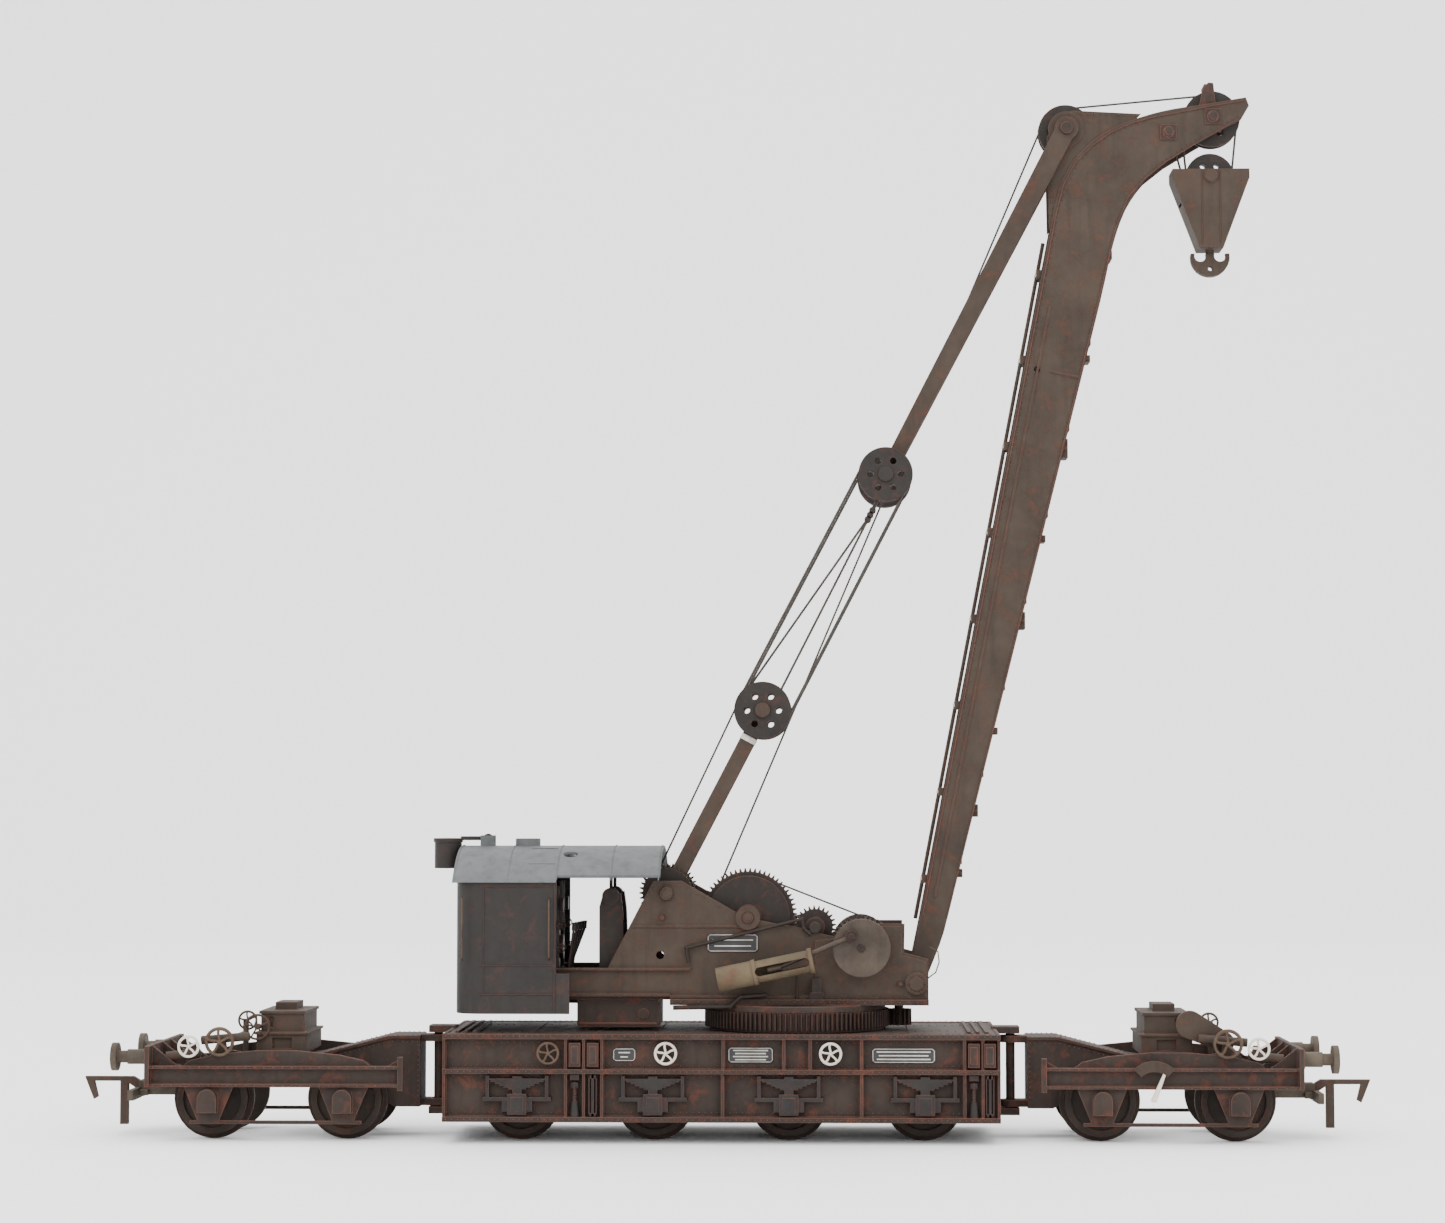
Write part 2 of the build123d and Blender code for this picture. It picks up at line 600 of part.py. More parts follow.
with BuildPart() as side_cheeks:
    plate([(tail_end, base_high + 0.4), (tail_end, tail_high), (-19.9, tail_high), (-12.0, 44.8),
           (-7.1, 44.8), (2.6, 39.3), (6.5, 38.0), (9.4, 37.4), (12.6, 36.9), (19.2, 35.2), (26.2, 37.4), (31.7, 37.4),
           (31.6, 32.4), (nose, 31.3), (nose, base_high + seam), (-9.0, base_high + seam),
           (-9.0, base_high + 0.4)], cheek_near, cheek_far)
    disc(drum_x, drum_z, 2.1, cheek_near, cheek_far + 0.7)
    disc(peak_x, peak_z, 1.7, cheek_near, cheek_far)
    # doubling plate at the front, tail girder flanges and the long stiffener
    plate([(16.1, base_high + seam), (16.1, 34.5), (19.2, 34.8), (26.2, 37.0), (31.3, 37.0), (31.2, 32.0),
           (nose - 0.3, 30.9), (nose - 0.3, base_high + seam)], cheek_far, cheek_far + 0.35)
    block((tail_end, -5.5), (-cheek_far - 0.9, -cheek_near), (tail_high - 0.4, tail_high))
    block((tail_end, -9.0), (-cheek_far - 0.9, -cheek_near), (base_high + 0.4, base_high + 0.9))
    block((-9.0, 16.1), (-cheek_far - 0.9, -cheek_near), (base_high + seam, base_high + 0.6))
    block((-15.8, 5.2), (-cheek_far - 0.25, -cheek_near), (36.7, 37.1))
    block((-19.6, 30.8), (-cheek_near, -cheek_near + 1.2), (base_high + 0.8 + seam, base_high + 1.6))
    other_side()
    # stretchers between the cheeks and the jib foot pin
    block((-17.0, -15.6), (-cheek_near, cheek_near), (30.2, 33.2))
    block((-13.0, -11.0), (-cheek_near, cheek_near), (26.0, 29.0))
    block((11.0, 12.6), (-cheek_near, cheek_near), (27.4, 29.6))
    disc(foot_x, foot_z, foot_pin_r, -cheek_far - 1.2, cheek_far + 1.2)
    disc(foot_x, foot_z, 1.9, -cheek_far - 0.9, -cheek_far)
    disc(foot_x, foot_z, 1.9, cheek_far, cheek_far + 0.9)
    # shaft bores
    for x, z in ((drum_x, drum_z), (peak_x, peak_z), (idler_x, idler_z)):
        disc(x, z, shaft_r + running, -shaft_end, shaft_end, Mode.SUBTRACT)
    disc(crank_x, crank_z, 1.25, -shaft_end, shaft_end, Mode.SUBTRACT)
    disc(-10.8, 31.9, 0.7, -shaft_end, shaft_end, Mode.SUBTRACT)
save(side_cheeks.part, "side_cheeks")

with BuildPart() as ballast_box:
    block((-25.3, -11.1), (-8.0, 8.0), (19.4, base_high - 0.2 - seam))
    for y in (-8.0, 8.0):
        block((-24.9, -11.5), (y - 0.15, y + 0.15), (19.8, 20.1))
        disc(-13.7, 21.7, 0.9, -y - 0.25, -y + 0.25)
save(ballast_box.part, "ballast_box")

# ------------------------------------------------------------------ engine
lean = atan2(engine_high[1] - engine_low[1], engine_high[0] - engine_low[0])
pin = (crank_x + throw_x, crank_z + throw_z)
crosshead = (engine_low[0] + 10.6 * cos(lean), engine_low[1] + 10.6 * sin(lean))

with BuildPart() as cylinders:
    bore_end = (engine_low[0] + 6.6 * cos(lean), engine_low[1] + 6.6 * sin(lean))
    rod((engine_low[0], -engine_y, engine_low[1]), (bore_end[0], -engine_y, bore_end[1]), 2.1)
    rod((bore_end[0], -engine_y, bore_end[1]), (engine_high[0], -engine_y, engine_high[1]), 1.9)
    rod((engine_high[0] - 0.7 * cos(lean), -engine_y, engine_high[1] - 0.7 * sin(lean)),
        (engine_high[0], -engine_y, engine_high[1]), 2.2)
    rod((bore_end[0] - 0.4 * cos(lean), -engine_y, bore_end[1] - 0.4 * sin(lean)),
        (bore_end[0] + 0.3 * cos(lean), -engine_y, bore_end[1] + 0.3 * sin(lean)), 2.25)
    # slotted crosshead guide, open from side to side
    slot_start = (engine_low[0] + 7.4 * cos(lean), engine_low[1] + 7.4 * sin(lean))
    slot_end = (engine_low[0] + 15.4 * cos(lean), engine_low[1] + 15.4 * sin(lean))
    strip(slot_start, slot_end, 1.5, 1.5, engine_y - 2.5, engine_y + 2.5, Mode.SUBTRACT)
    # clear way for the connecting rod through the front of the guide
    rod((crosshead[0], -engine_y, crosshead[1]), (pin[0], -engine_y, pin[1]), 0.62, Mode.SUBTRACT)
    # bracket to the cheek
    block((3.6, 8.2), (-engine_y + 1.2, -cheek_far - 0.35 - seam), (27.6, 30.4))
    other_side()
save(cylinders.part, "cylinders")

with BuildPart() as crank_and_rods:
    disc(crank_x, crank_z, 1.2, -crank_near - 0.2, crank_near + 0.2)
    for near in (crank_near, -crank_near - crank_thick):
        disc(crank_x, crank_z, crank_r, near, near + crank_thick)
    crank_far = crank_near + crank_thick
    for side in (-1, 1):
        ys = sorted((side * crank_far, side * (engine_y + 1.0)))
        disc(*pin, 0.5, -ys[1], -ys[0])
        disc(*pin, 0.95, *sorted((side * (crank_far + 0.1), side * (engine_y + 0.7))))
        disc(crank_x, crank_z, 0.7, *sorted((side * crank_far, side * (crank_far + 0.35))))
        rod((pin[0], side * engine_y, pin[1]), (crosshead[0], side * engine_y, crosshead[1]), 0.42)
        rod((crosshead[0] + 0.6 * cos(lean), side * engine_y, crosshead[1] + 0.6 * sin(lean)),
            (crosshead[0] - 1.8 * cos(lean), side * engine_y, crosshead[1] - 1.8 * sin(lean)), 0.7)
save(crank_and_rods.part, "crank_and_rods")

# ------------------------------------------------------------------ hoist gear train
to_idler = atan2(idler_z - drum_z, idler_x - drum_x)
to_clutch = atan2(crank_z - idler_z, crank_x - idler_x)
idler_phase = meshing_phase(to_idler, drum_teeth, idler_teeth, to_idler)
clutch_phase = meshing_phase(idler_phase, idler_teeth, clutch_teeth, to_clutch)
gear_far = gear_near + gear_wide

with BuildPart() as hoist_drum:
    disc(drum_x, drum_z, shaft_r, -shaft_end, shaft_end)
    disc(drum_x, drum_z, barrel_r, -gear_near, gear_near)
    plate(gear_points(drum_x, drum_z, drum_teeth, hoist_module, to_idler), gear_near, gear_far)
    disc(drum_x, drum_z, 7.2, gear_far, gear_far + 0.8)
    disc(drum_x, drum_z, 7.2, -gear_far, -gear_near)
    disc(drum_x, drum_z, 2.2, gear_far, cheek_near - side_gap)
    disc(drum_x, drum_z, 2.2, -cheek_near + side_gap, -gear_near)
    for turn in range(8):
        wrap = -gear_near + 1.0 + turn * 1.14
        disc(drum_x, drum_z, barrel_r - 0.25, wrap, wrap + 0.3, Mode.SUBTRACT)
save(hoist_drum.part, "hoist_drum")

with BuildPart() as idler_gear:
    disc(idler_x, idler_z, shaft_r, -shaft_end, shaft_end)
    plate(gear_points(idler_x, idler_z, idler_teeth, hoist_module, idler_phase), gear_near, gear_far)
    disc(idler_x, idler_z, 1.7, gear_far, cheek_near - side_gap)
    disc(idler_x, idler_z, 1.7, -cheek_near + side_gap, -gear_near)
save(idler_gear.part, "idler_gear")

with BuildPart() as clutch_gear:
    plate(gear_points(crank_x, crank_z, clutch_teeth, hoist_module, clutch_phase), gear_near, gear_far)
    disc(crank_x, crank_z, 2.4, gear_near - 2.0, cheek_near - side_gap)
    for turn in range(6):
        angle = turn * pi / 3
        disc(crank_x + 3.7 * cos(angle), crank_z + 3.7 * sin(angle), 0.6, gear_near, gear_far, Mode.SUBTRACT)
    disc(crank_x, crank_z, 1.2 + running, gear_near - 2.0, cheek_near, Mode.SUBTRACT)
save(clutch_gear.part, "clutch_gear")

with BuildPart() as derrick_drum:
    disc(peak_x, peak_z, shaft_r, -shaft_end, shaft_end)
    disc(peak_x, peak_z, 3.0, -bar_near + 0.3, bar_near - 0.3)
    disc(peak_x, peak_z, 3.6, bar_near - 0.6, bar_near - 0.2)
    disc(peak_x, peak_z, 3.6, -bar_near + 0.2, -bar_near + 0.6)
    for near in (gear_near, -gear_far):
        plate(gear_points(peak_x, peak_z, derrick_teeth, derrick_module, 0), near, near + gear_wide)
save(derrick_drum.part, "derrick_drum")

# ------------------------------------------------------------------ cab, boiler and chimney
with BuildPart() as cab_body:
    with BuildSketch(Plane.XY.offset(cab_low)) as plan:
        with Locations(((cab_rear + cab_front) / 2, 0)):
            Rectangle(cab_front - cab_rear, 2 * cab_half)
        fillet(plan.vertices().sort_by(Axis.X)[:2], cab_corner)
    extrude(plan.sketch, amount=cab_high - cab_low)
    with BuildSketch(Plane.XY.offset(cab_low)) as inside:
        with Locations(((cab_rear + cab_front) / 2 + cab_wall, 0)):
            Rectangle(cab_front - cab_rear, 2 * (cab_half - cab_wall))
        fillet(inside.vertices().sort_by(Axis.X)[:2], cab_corner - cab_wall)
    extrude(inside.sketch, amount=cab_high - cab_low, mode=Mode.SUBTRACT)
    # floor under the tail of the base, and the short skirt ahead of the door
    block((cab_rear + cab_wall + 3.5, cab_front), (-cab_half + 0.2, cab_half - 0.2),
          (base_high - 1.0, base_high - 0.2 - seam))
    for side in (-1, 1):
        ys = sorted((side * cab_half, side * (cab_half - cab_wall)))
        block((cab_front - 0.2, cab_front + 2.3), ys, (cab_low, 29.0))
save(cab_body.part, "cab_body")

arc_r = (roof_half**2 + roof_rise**2) / (2 * roof_rise)
with BuildPart() as cab_roof:
    with BuildSketch(Plane.YZ.offset(cab_rear - roof_overhang)) as arch:
        with BuildLine():
            outer = ThreePointArc((-roof_half, cab_high), (0, roof_top), (roof_half, cab_high))
            Line((roof_half, cab_high), (roof_half - roof_skin, cab_high))
            ThreePointArc((roof_half - roof_skin, cab_high), (0, roof_top - roof_skin),
                          (-roof_half + roof_skin, cab_high))
            Line((-roof_half + roof_skin, cab_high), (-roof_half, cab_high))
        make_face()
    extrude(arch.sketch, amount=roof_front - cab_rear + roof_overhang)
    # the front part has shorter eaves
    for side in (-1, 1):
        ys = sorted((side * (roof_half - 1.5), side * (roof_half + 0.1)))
        block((cab_front, roof_front + 0.1), ys, (cab_high - 0.1, cab_high + 1.3), Mode.SUBTRACT)
    # end wall under the arch at the rear, chimney seat and fold bracket
    with BuildSketch(Plane.YZ.offset(cab_rear)) as end_wall:
        with BuildLine():
            ThreePointArc((-roof_half + 0.6, cab_high + 0.1), (0, roof_top - 0.2),
                          (roof_half - 0.6, cab_high + 0.1))
            Line((roof_half - 0.6, cab_high + 0.1), (-roof_half + 0.6, cab_high + 0.1))
        make_face()
    extrude(end_wall.sketch, amount=cab_wall)
    seat_x = chimney_x + chimney_reach
    post(seat_x, 0, chimney_r - 0.2, roof_top - 0.4, chimney_z - side_gap)
    post(seat_x, 0, chimney_r - 0.5, roof_top - 2.0, chimney_z, Mode.SUBTRACT)
    for side in (-1, 1):
        ys = sorted((side * 0.9, side * 1.7))
        block((chimney_x - 1.2, chimney_x + 1.2), ys, (roof_top - 0.6, chimney_z + 0.5))
    disc(chimney_x, chimney_z, 0.35, -1.7, 1.7)
    # round vent on each shoulder
    for side in (-1, 1):
        post(-26.5, side * 8.0, 1.25, roof_top - 6, roof_top + 1, Mode.SUBTRACT)
save(cab_roof.part, "cab_roof")

with BuildPart() as chimney:
    funnel_x = chimney_x - chimney_reach
    funnel_high = chimney_z
    post(funnel_x, 0, chimney_r, funnel_high - chimney_long, funnel_high)
    post(funnel_x, 0, chimney_r + 0.2, funnel_high - 0.7, funnel_high)
    post(funnel_x, 0, chimney_r - 0.5, funnel_high - chimney_long, funnel_high, Mode.SUBTRACT)
    block((funnel_x + chimney_r - 0.1, chimney_x), (-0.8, 0.8), (chimney_z - 0.35, chimney_z + 0.35))
    disc(chimney_x, chimney_z, 0.8, -0.8, 0.8)
    disc(chimney_x, chimney_z, 0.35 + running, -0.8, 0.8, Mode.SUBTRACT)
save(chimney.part, "chimney")

with BuildPart() as steam_plant:
    floor_z = base_high + 0.8 + seam
    # driver's valve columns, wider at the foot, with round heads
    stand_y = 5.2
    with BuildSketch(Plane.XZ.offset(stand_y - 1.1)) as column:
        with BuildLine():
            Polyline((-21.6, floor_z), (-21.6, 40.2), (-20.9, 42.6), (-17.9, 42.6), (-17.5, 39.5),
                     (-17.3, 33.6), (-18.4, floor_z), close=True)
        make_face()
    extrude(column.sketch, amount=2.2)
    disc(-19.6, 42.0, 1.5, stand_y - 1.6, stand_y + 1.6)
    post(-19.6, -stand_y, 0.3, 42.0, 45.2)
    # steam pipe over the cheek, exhaust pipe under the cylinders and an upright drain
    pipe_y = -cheek_far - 0.75
    route = ((-5.8, 30.6), (-6.2, 33.2), (13.9, 38.2), (14.2, 36.6), (15.2, 35.7))
    for here, there in zip(route, route[1:]):
        rod((here[0], pipe_y, here[1]), (there[0], pipe_y, there[1]), 0.3)
        with Locations((there[0], pipe_y, there[1])):
            Sphere(0.36)
    exhaust_y = -11.8
    route = ((-8.4, 23.0), (1.5, 23.2), (3.2, 24.9), (7.4, 25.2))
    for here, there in zip(route, route[1:]):
        rod((here[0], exhaust_y, here[1]), (there[0], exhaust_y, there[1]), 0.4)
        with Locations((there[0], exhaust_y, there[1])):
            Sphere(0.48)
    rod((13.0, -10.4, base_high + seam), (13.0, -10.4, 28.4), 0.25)
    block((15.2, 17.6), (-11.0, -10.15), (base_high + seam, 25.6))
    block((15.6, 17.2), (-10.9, -10.15), (25.6, 28.0))
    other_side()
    # upright boiler on the tail of the base
    post(boiler_x, 0, boiler_r, floor_z, 45.4)
    post(boiler_x, 0, boiler_r + 0.3, floor_z, floor_z + 1.2)
    post(boiler_x, 0, boiler_r + 0.3, 44.2, 45.4)
    post(boiler_x, 0, 2.0, 45.4, 48.5)
    # fire door, gauges and pipework on the face towards the drums
    block((boiler_x, boiler_x + boiler_r + 1.0), (-3.6, 3.6), (27.0, 43.0))
    rod((boiler_x + 5, 0, 33.0), (boiler_x + boiler_r + 1.9, 0, 33.0), 2.1)
    for y, low, high in ((-2.6, 36.0, 44.6), (0.0, 37.2, 44.0), (2.6, 36.0, 44.6)):
        post(boiler_x + boiler_r + 1.4, y, 0.45, low, high)
        rod((boiler_x + 5, y, high - 1), (boiler_x + boiler_r + 1.4, y, high - 1), 0.4)
        rod((boiler_x + 5, y, low + 1), (boiler_x + boiler_r + 1.4, y, low + 1), 0.4)
save(steam_plant.part, "steam_plant")

# ------------------------------------------------------------------ jib
with BuildPart() as jib_frame:
    rear_slope = (0.192, 1.0)
    front_slope = (0.25, 1.0)
    with BuildSketch(Plane.XZ.offset(jib_near)) as web:
        with BuildLine():
            Line((32.2, foot_z), (34.4, 37.6))
            Line((34.4, 37.6), (58.9, 164.1))
            Spline((58.9, 164.1), (62.2, 172.2), (69.0, 177.9), (76.4, 180.6), (92.85, 183.4),
                   tangents=[rear_slope, (1.0, 0.17)])
            Polyline((92.85, 183.4), (93.4, 181.9), (92.0, 179.5), (84.1, 175.2))
            Spline((84.1, 175.2), (75.3, 169.2), (70.6, 161.5), (66.8, 146.8),
                   tangents=[(-0.87, -0.5), (-0.25, -1.0)])
            Polyline((66.8, 146.8), (38.8, 36.0), (38.0, 33.6), (35.4, foot_z), (32.2, foot_z))
        make_face()
    extrude(web.sketch, amount=jib_far - jib_near)
    # rear gusset that carries the tie bars, a hand deeper in than the web
    plate([(57.9, 160.0), (57.6, 176.6), (59.6, 180.4), (62.0, 181.3), (74.3, 180.6), (66.0, 172.0)],
          jib_near, jib_far - 0.25)
    disc(guide_x, guide_z, 3.2, jib_near, jib_far)
    disc(foot_x, foot_z, 2.0, jib_near, cheek_near - 2 * side_gap)
    # raised edge angles and the lighter strake along the rear
    strip((37.2, 42.0), (57.9, 146.0), 0.4, 0.4, jib_far, jib_far + jib_rim)
    strip((57.9, 134.6), (63.2, 133.4), 0.4, 0.4, jib_far, jib_far + jib_rim)
    disc(55.6, 134.9, 0.57, jib_near, jib_far, Mode.SUBTRACT)
    other_side()
    disc(guide_x, guide_z, jib_pin_r, -bar_far - 0.5, bar_far + 0.5)
    disc(head_x, head_z, jib_pin_r, -jib_far - 0.8, jib_far + 0.8)
    disc(mid_x, mid_z, jib_pin_r, -jib_far - 0.8, jib_far + 0.8)
    disc(foot_x, foot_z, foot_pin_r + running, -cheek_near, cheek_near, Mode.SUBTRACT)
save(jib_frame.part, "jib_frame")

with BuildPart() as jib_lacing:
    # battens across the rear and front faces, one every panel
    reach = jib_near - seam
    for panel in range(8):
        z = 45.0 + 15.3 * panel
        rear_x = 34.4 + (z - 37.6) * 0.1937
        front_x = 38.8 + (z - 36.0) * 0.2527
        block((rear_x - 0.9, rear_x + 0.7), (-reach, reach), (z - 0.7, z + 0.7))
        block((front_x - 0.6, front_x + 0.9), (-reach, reach), (z + 2.6, z + 4.0))
    rod((33.8, 0, 38.0), (57.0, 0, 158.0), 0.35)
save(jib_lacing.part, "jib_lacing")

with BuildPart() as jib_head_rope:
    top_guide = guide_z + guide_r - 0.45
    top_head = head_z + head_r - 0.45
    rod((guide_x, 0, top_guide), (head_x, 0, top_head), rope_r)
save(jib_head_rope.part, "jib_head_rope")

with BuildPart() as guide_sheave:
    sheave(guide_x, guide_z, guide_r, -sheave_half, sheave_half, jib_pin_r + running)
save(guide_sheave.part, "guide_sheave")

with BuildPart() as head_sheave:
    sheave(head_x, head_z, head_r, -sheave_half, sheave_half, jib_pin_r + running)
save(head_sheave.part, "head_sheave")

# ------------------------------------------------------------------ derricking tackle
with BuildPart() as link_bars:
    strip((peak_x, peak_z), (lower_x, lower_z), 2.6, 2.6, bar_near, bar_far)
    disc(peak_x, peak_z, 1.9, bar_near, bar_far)
    disc(peak_x, peak_z, shaft_r + running, bar_near, bar_far, Mode.SUBTRACT)
    disc(lower_x, lower_z, 1.6, bar_near, bar_far)
    disc(lower_x, lower_z, stub_r, bar_near, block_far + 0.6)
    disc(lower_x, lower_z, 1.3, block_far + side_gap, block_far + 0.6)
    other_side()
save(link_bars.part, "link_bars")

with BuildPart() as lower_sheaves:
    sheave(lower_x, lower_z, lower_r, block_near, block_far, stub_r + running)
    other_side()
save(lower_sheaves.part, "lower_sheaves")

with BuildPart() as tie_bars:
    strip((upper_x, upper_z), (guide_x, guide_z), 2.6, 3.6, bar_near, bar_far)
    disc(guide_x, guide_z, 2.1, bar_near, bar_far)
    disc(guide_x, guide_z, jib_pin_r + running, bar_near, bar_far, Mode.SUBTRACT)
    disc(upper_x, upper_z, 1.9, bar_near, bar_far)
    disc(upper_x, upper_z, stub_r + lash, bar_near, bar_far, Mode.SUBTRACT)
    other_side()
save(tie_bars.part, "tie_bars")

with BuildPart() as upper_axle:
    # stub axles, headed inboard, so the hoist rope passes between them
    disc(upper_x, upper_z, stub_r, bar_near - 0.6, block_far + 0.6)
    disc(upper_x, upper_z, 1.3, block_far + side_gap, block_far + 0.6)
    disc(upper_x, upper_z, 1.7, bar_near - 0.6, bar_near - 0.1)
    other_side()
save(upper_axle.part, "upper_axle")

with BuildPart() as upper_sheaves:
    sheave(upper_x, upper_z, upper_r, block_near, block_far, stub_r + running)
    other_side()
save(upper_sheaves.part, "upper_sheaves")

with BuildPart() as derrick_ropes:
    # falls on both sides of both blocks, and the lead down to the drum
    across_x, across_z = -sin(tackle_angle), cos(tackle_angle)
    low_off, high_off = lower_r - 0.4, upper_r - 0.4
    for side in (-1, 1):
        for lane in (-0.3, 0.3):
            y = -(block_near + block_far) / 2 + lane
            rod((lower_x + side * low_off * across_x, y, lower_z + side * low_off * across_z),
                (upper_x + side * high_off * across_x, y, upper_z + side * high_off * across_z), fall_rope_r)
    rod((peak_x - 3.1, 0, peak_z + 1.2),
        (lower_x + (low_off + 0.2) * across_x, 0, lower_z + low_off * across_z), fall_rope_r)
    other_side()
save(derrick_ropes.part, "derrick_ropes")

# hoist rope: tangent from the back of the hoist drum to the back of the guide sheave, in two halves
rope_x, rope_z = guide_x - drum_x, guide_z - drum_z
off_drum = barrel_r + rope_r + 0.03
off_guide = guide_r - 0.45
rope_lean = atan2(rope_z, rope_x) + (off_guide - off_drum) / hypot(rope_x, rope_z)
rope_start = Vector(drum_x - off_drum * sin(rope_lean), 0, drum_z + off_drum * cos(rope_lean))
rope_end = Vector(guide_x - off_guide * sin(rope_lean), 0, guide_z + off_guide * cos(rope_lean))
rope_middle = (rope_start + rope_end) * 0.5

with BuildPart() as hoist_rope:
    rod(rope_start, rope_middle, rope_r)
save(hoist_rope.part, "hoist_rope")

with BuildPart() as hoist_rope_top:
    rod(rope_middle, rope_end, rope_r)
save(hoist_rope_top.part, "hoist_rope_top")

# ------------------------------------------------------------------ hook
with BuildPart() as hook_falls:
    fall_top = head_z - 0.5
    block_top = hook_sheave_z + 0.4
    rod((head_x + head_r - 0.4, 0, fall_top), (hook_x + hook_sheave_r - 0.4, 0, block_top), rope_r)
    rod((mid_x + 1.4, 0, fall_top - 4), (hook_x - hook_sheave_r + 0.4, 0, block_top), rope_r)
save(hook_falls.part, "hook_falls")

with BuildPart() as hook_block:
    plate([(hook_x - 6.8, hook_top), (hook_x - 6.8, hook_top - 1.6), (hook_x - 2.1, hook_low),
           (hook_x + 2.1, hook_low), (hook_x + 6.8, hook_top - 1.6), (hook_x + 6.8, hook_top)],
          -hook_half, hook_half)
    block((hook_x - 5.2, hook_x + 5.2), (-sheave_half - 0.4, sheave_half + 0.4),
          (hook_sheave_z - hook_sheave_r - 0.6, hook_top + 0.1), Mode.SUBTRACT)
    disc(hook_x, hook_sheave_z, jib_pin_r, -hook_half - 0.5, hook_half + 0.5)
    disc(hook_x, hook_sheave_z, 1.2, -hook_half - 0.4, -hook_half)
    disc(hook_x, hook_sheave_z, 1.2, hook_half, hook_half + 0.4)
    # swivel socket for the hook's shank
    post(hook_x, 0, 0.75 + running, hook_low, hook_low + 3.4, Mode.SUBTRACT)
    post(hook_x, 0, 1.2 + running, hook_low + 2.0, hook_low + 3.4, Mode.SUBTRACT)
save(hook_block.part, "hook_block")

with BuildPart() as block_sheave:
    sheave(hook_x, hook_sheave_z, hook_sheave_r, -sheave_half, sheave_half, jib_pin_r + running)
save(block_sheave.part, "block_sheave")

with BuildPart() as ramshorn_hook:
    post(hook_x, 0, 0.75, hook_low - 2.6, hook_low + 2.2)
    post(hook_x, 0, 1.2, hook_low + 2.2, hook_low + 3.1)
    # two horns that curl up from a thick middle
    with BuildSketch(Plane.XZ.offset(-0.8)) as horns:
        with Locations((hook_x, hook_bottom + 3.45)):
            Circle(3.45)
        with Locations((hook_x - 1.75, hook_bottom + 3.7), (hook_x + 1.75, hook_bottom + 3.7)):
            Circle(1.05, mode=Mode.SUBTRACT)
        with Locations((hook_x, hook_bottom + 6.1)):
            Rectangle(8, 4, mode=Mode.SUBTRACT)
        with Locations((hook_x, hook_bottom + 3.0)):
            Rectangle(1.4, 2.2)
    extrude(horns.sketch, amount=1.6)
    disc(hook_x, hook_bottom + 1.4, 0.4, -0.9, 0.9, Mode.SUBTRACT)
save(ramshorn_hook.part, "ramshorn_hook")
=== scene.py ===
"""Looks of the steam breakdown crane model: finishes, rivets, ropes, handwheels, plates and the stage."""

import json
import math

import bmesh
import bpy
from bpy.props import FloatProperty, FloatVectorProperty, IntProperty, PointerProperty
from mathutils import Matrix, Vector


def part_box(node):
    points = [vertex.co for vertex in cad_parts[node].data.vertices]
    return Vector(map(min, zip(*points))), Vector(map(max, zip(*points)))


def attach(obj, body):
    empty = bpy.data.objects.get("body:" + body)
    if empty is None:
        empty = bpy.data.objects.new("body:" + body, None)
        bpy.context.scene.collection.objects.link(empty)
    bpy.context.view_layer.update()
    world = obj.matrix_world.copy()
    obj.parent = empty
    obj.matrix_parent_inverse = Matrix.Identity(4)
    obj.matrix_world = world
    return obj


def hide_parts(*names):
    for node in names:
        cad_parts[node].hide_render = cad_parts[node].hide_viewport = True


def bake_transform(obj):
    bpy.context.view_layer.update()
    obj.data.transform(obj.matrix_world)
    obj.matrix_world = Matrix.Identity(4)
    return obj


bl_info = {
    "name": "Steam breakdown crane looks",
    "version": (1, 0, 0),
    "blender": (4, 5, 0),
    "location": "3D View > Sidebar > Crane",
    "description": "Adds finishes and fine pieces to the crane model",
    "category": "Object",
}

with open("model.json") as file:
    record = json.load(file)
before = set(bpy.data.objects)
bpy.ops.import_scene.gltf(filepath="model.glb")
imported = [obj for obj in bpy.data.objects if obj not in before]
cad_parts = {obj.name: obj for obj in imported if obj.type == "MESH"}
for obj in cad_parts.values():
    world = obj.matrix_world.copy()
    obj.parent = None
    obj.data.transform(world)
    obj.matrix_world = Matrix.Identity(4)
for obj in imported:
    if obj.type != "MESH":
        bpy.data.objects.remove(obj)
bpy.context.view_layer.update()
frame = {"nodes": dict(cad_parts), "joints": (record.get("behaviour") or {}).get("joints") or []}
NODES = frame["nodes"]
MM = 0.001
AXES = {joint["name"]: Vector(joint["pos_m"]) / MM for joint in frame["joints"] if joint.get("pos_m")}
DRUM, CRANK, PEAK = AXES["hoist"], AXES["clutch_gear_turn"], AXES["derrick_drum_turn"]
FOOT, GUIDE, HEAD = AXES["luff"], AXES["guide_sheave_turn"], AXES["head_sheave_turn"]
ENDS = (("left", -1), ("right", 1))

# faces that pieces sit on, in millimetres
CHEEK_FACE = 9.2
PANEL_FACE = 15.4
FLANGE_TOP = 18.8
DECK_TOP = 18.7
JIB_FACE = 3.3
BLOCK_FACE = 3.1


def low_high(node):
    """Lowest and highest corner of a CAD node, in millimetres."""
    low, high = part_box(node)
    return low / MM, high / MM


def linear(hex_colour):
    """sRGB hex to linear RGB."""
    channels = []
    for start in (0, 2, 4):
        value = int(hex_colour[start:start + 2], 16) / 255
        channels.append(value / 12.92 if value <= 0.04045 else ((value + 0.055) / 1.055) ** 2.4)
    return tuple(channels)


def rgba(colour):
    """RGB to RGBA."""
    return (*colour[:3], 1.0)


# ---- properties
def colour_setting(name, description, hex_colour):
    """A colour that a user can change."""
    return FloatVectorProperty(name=name, description=description, subtype="COLOR", size=3, min=0, max=1,
                               default=linear(hex_colour))


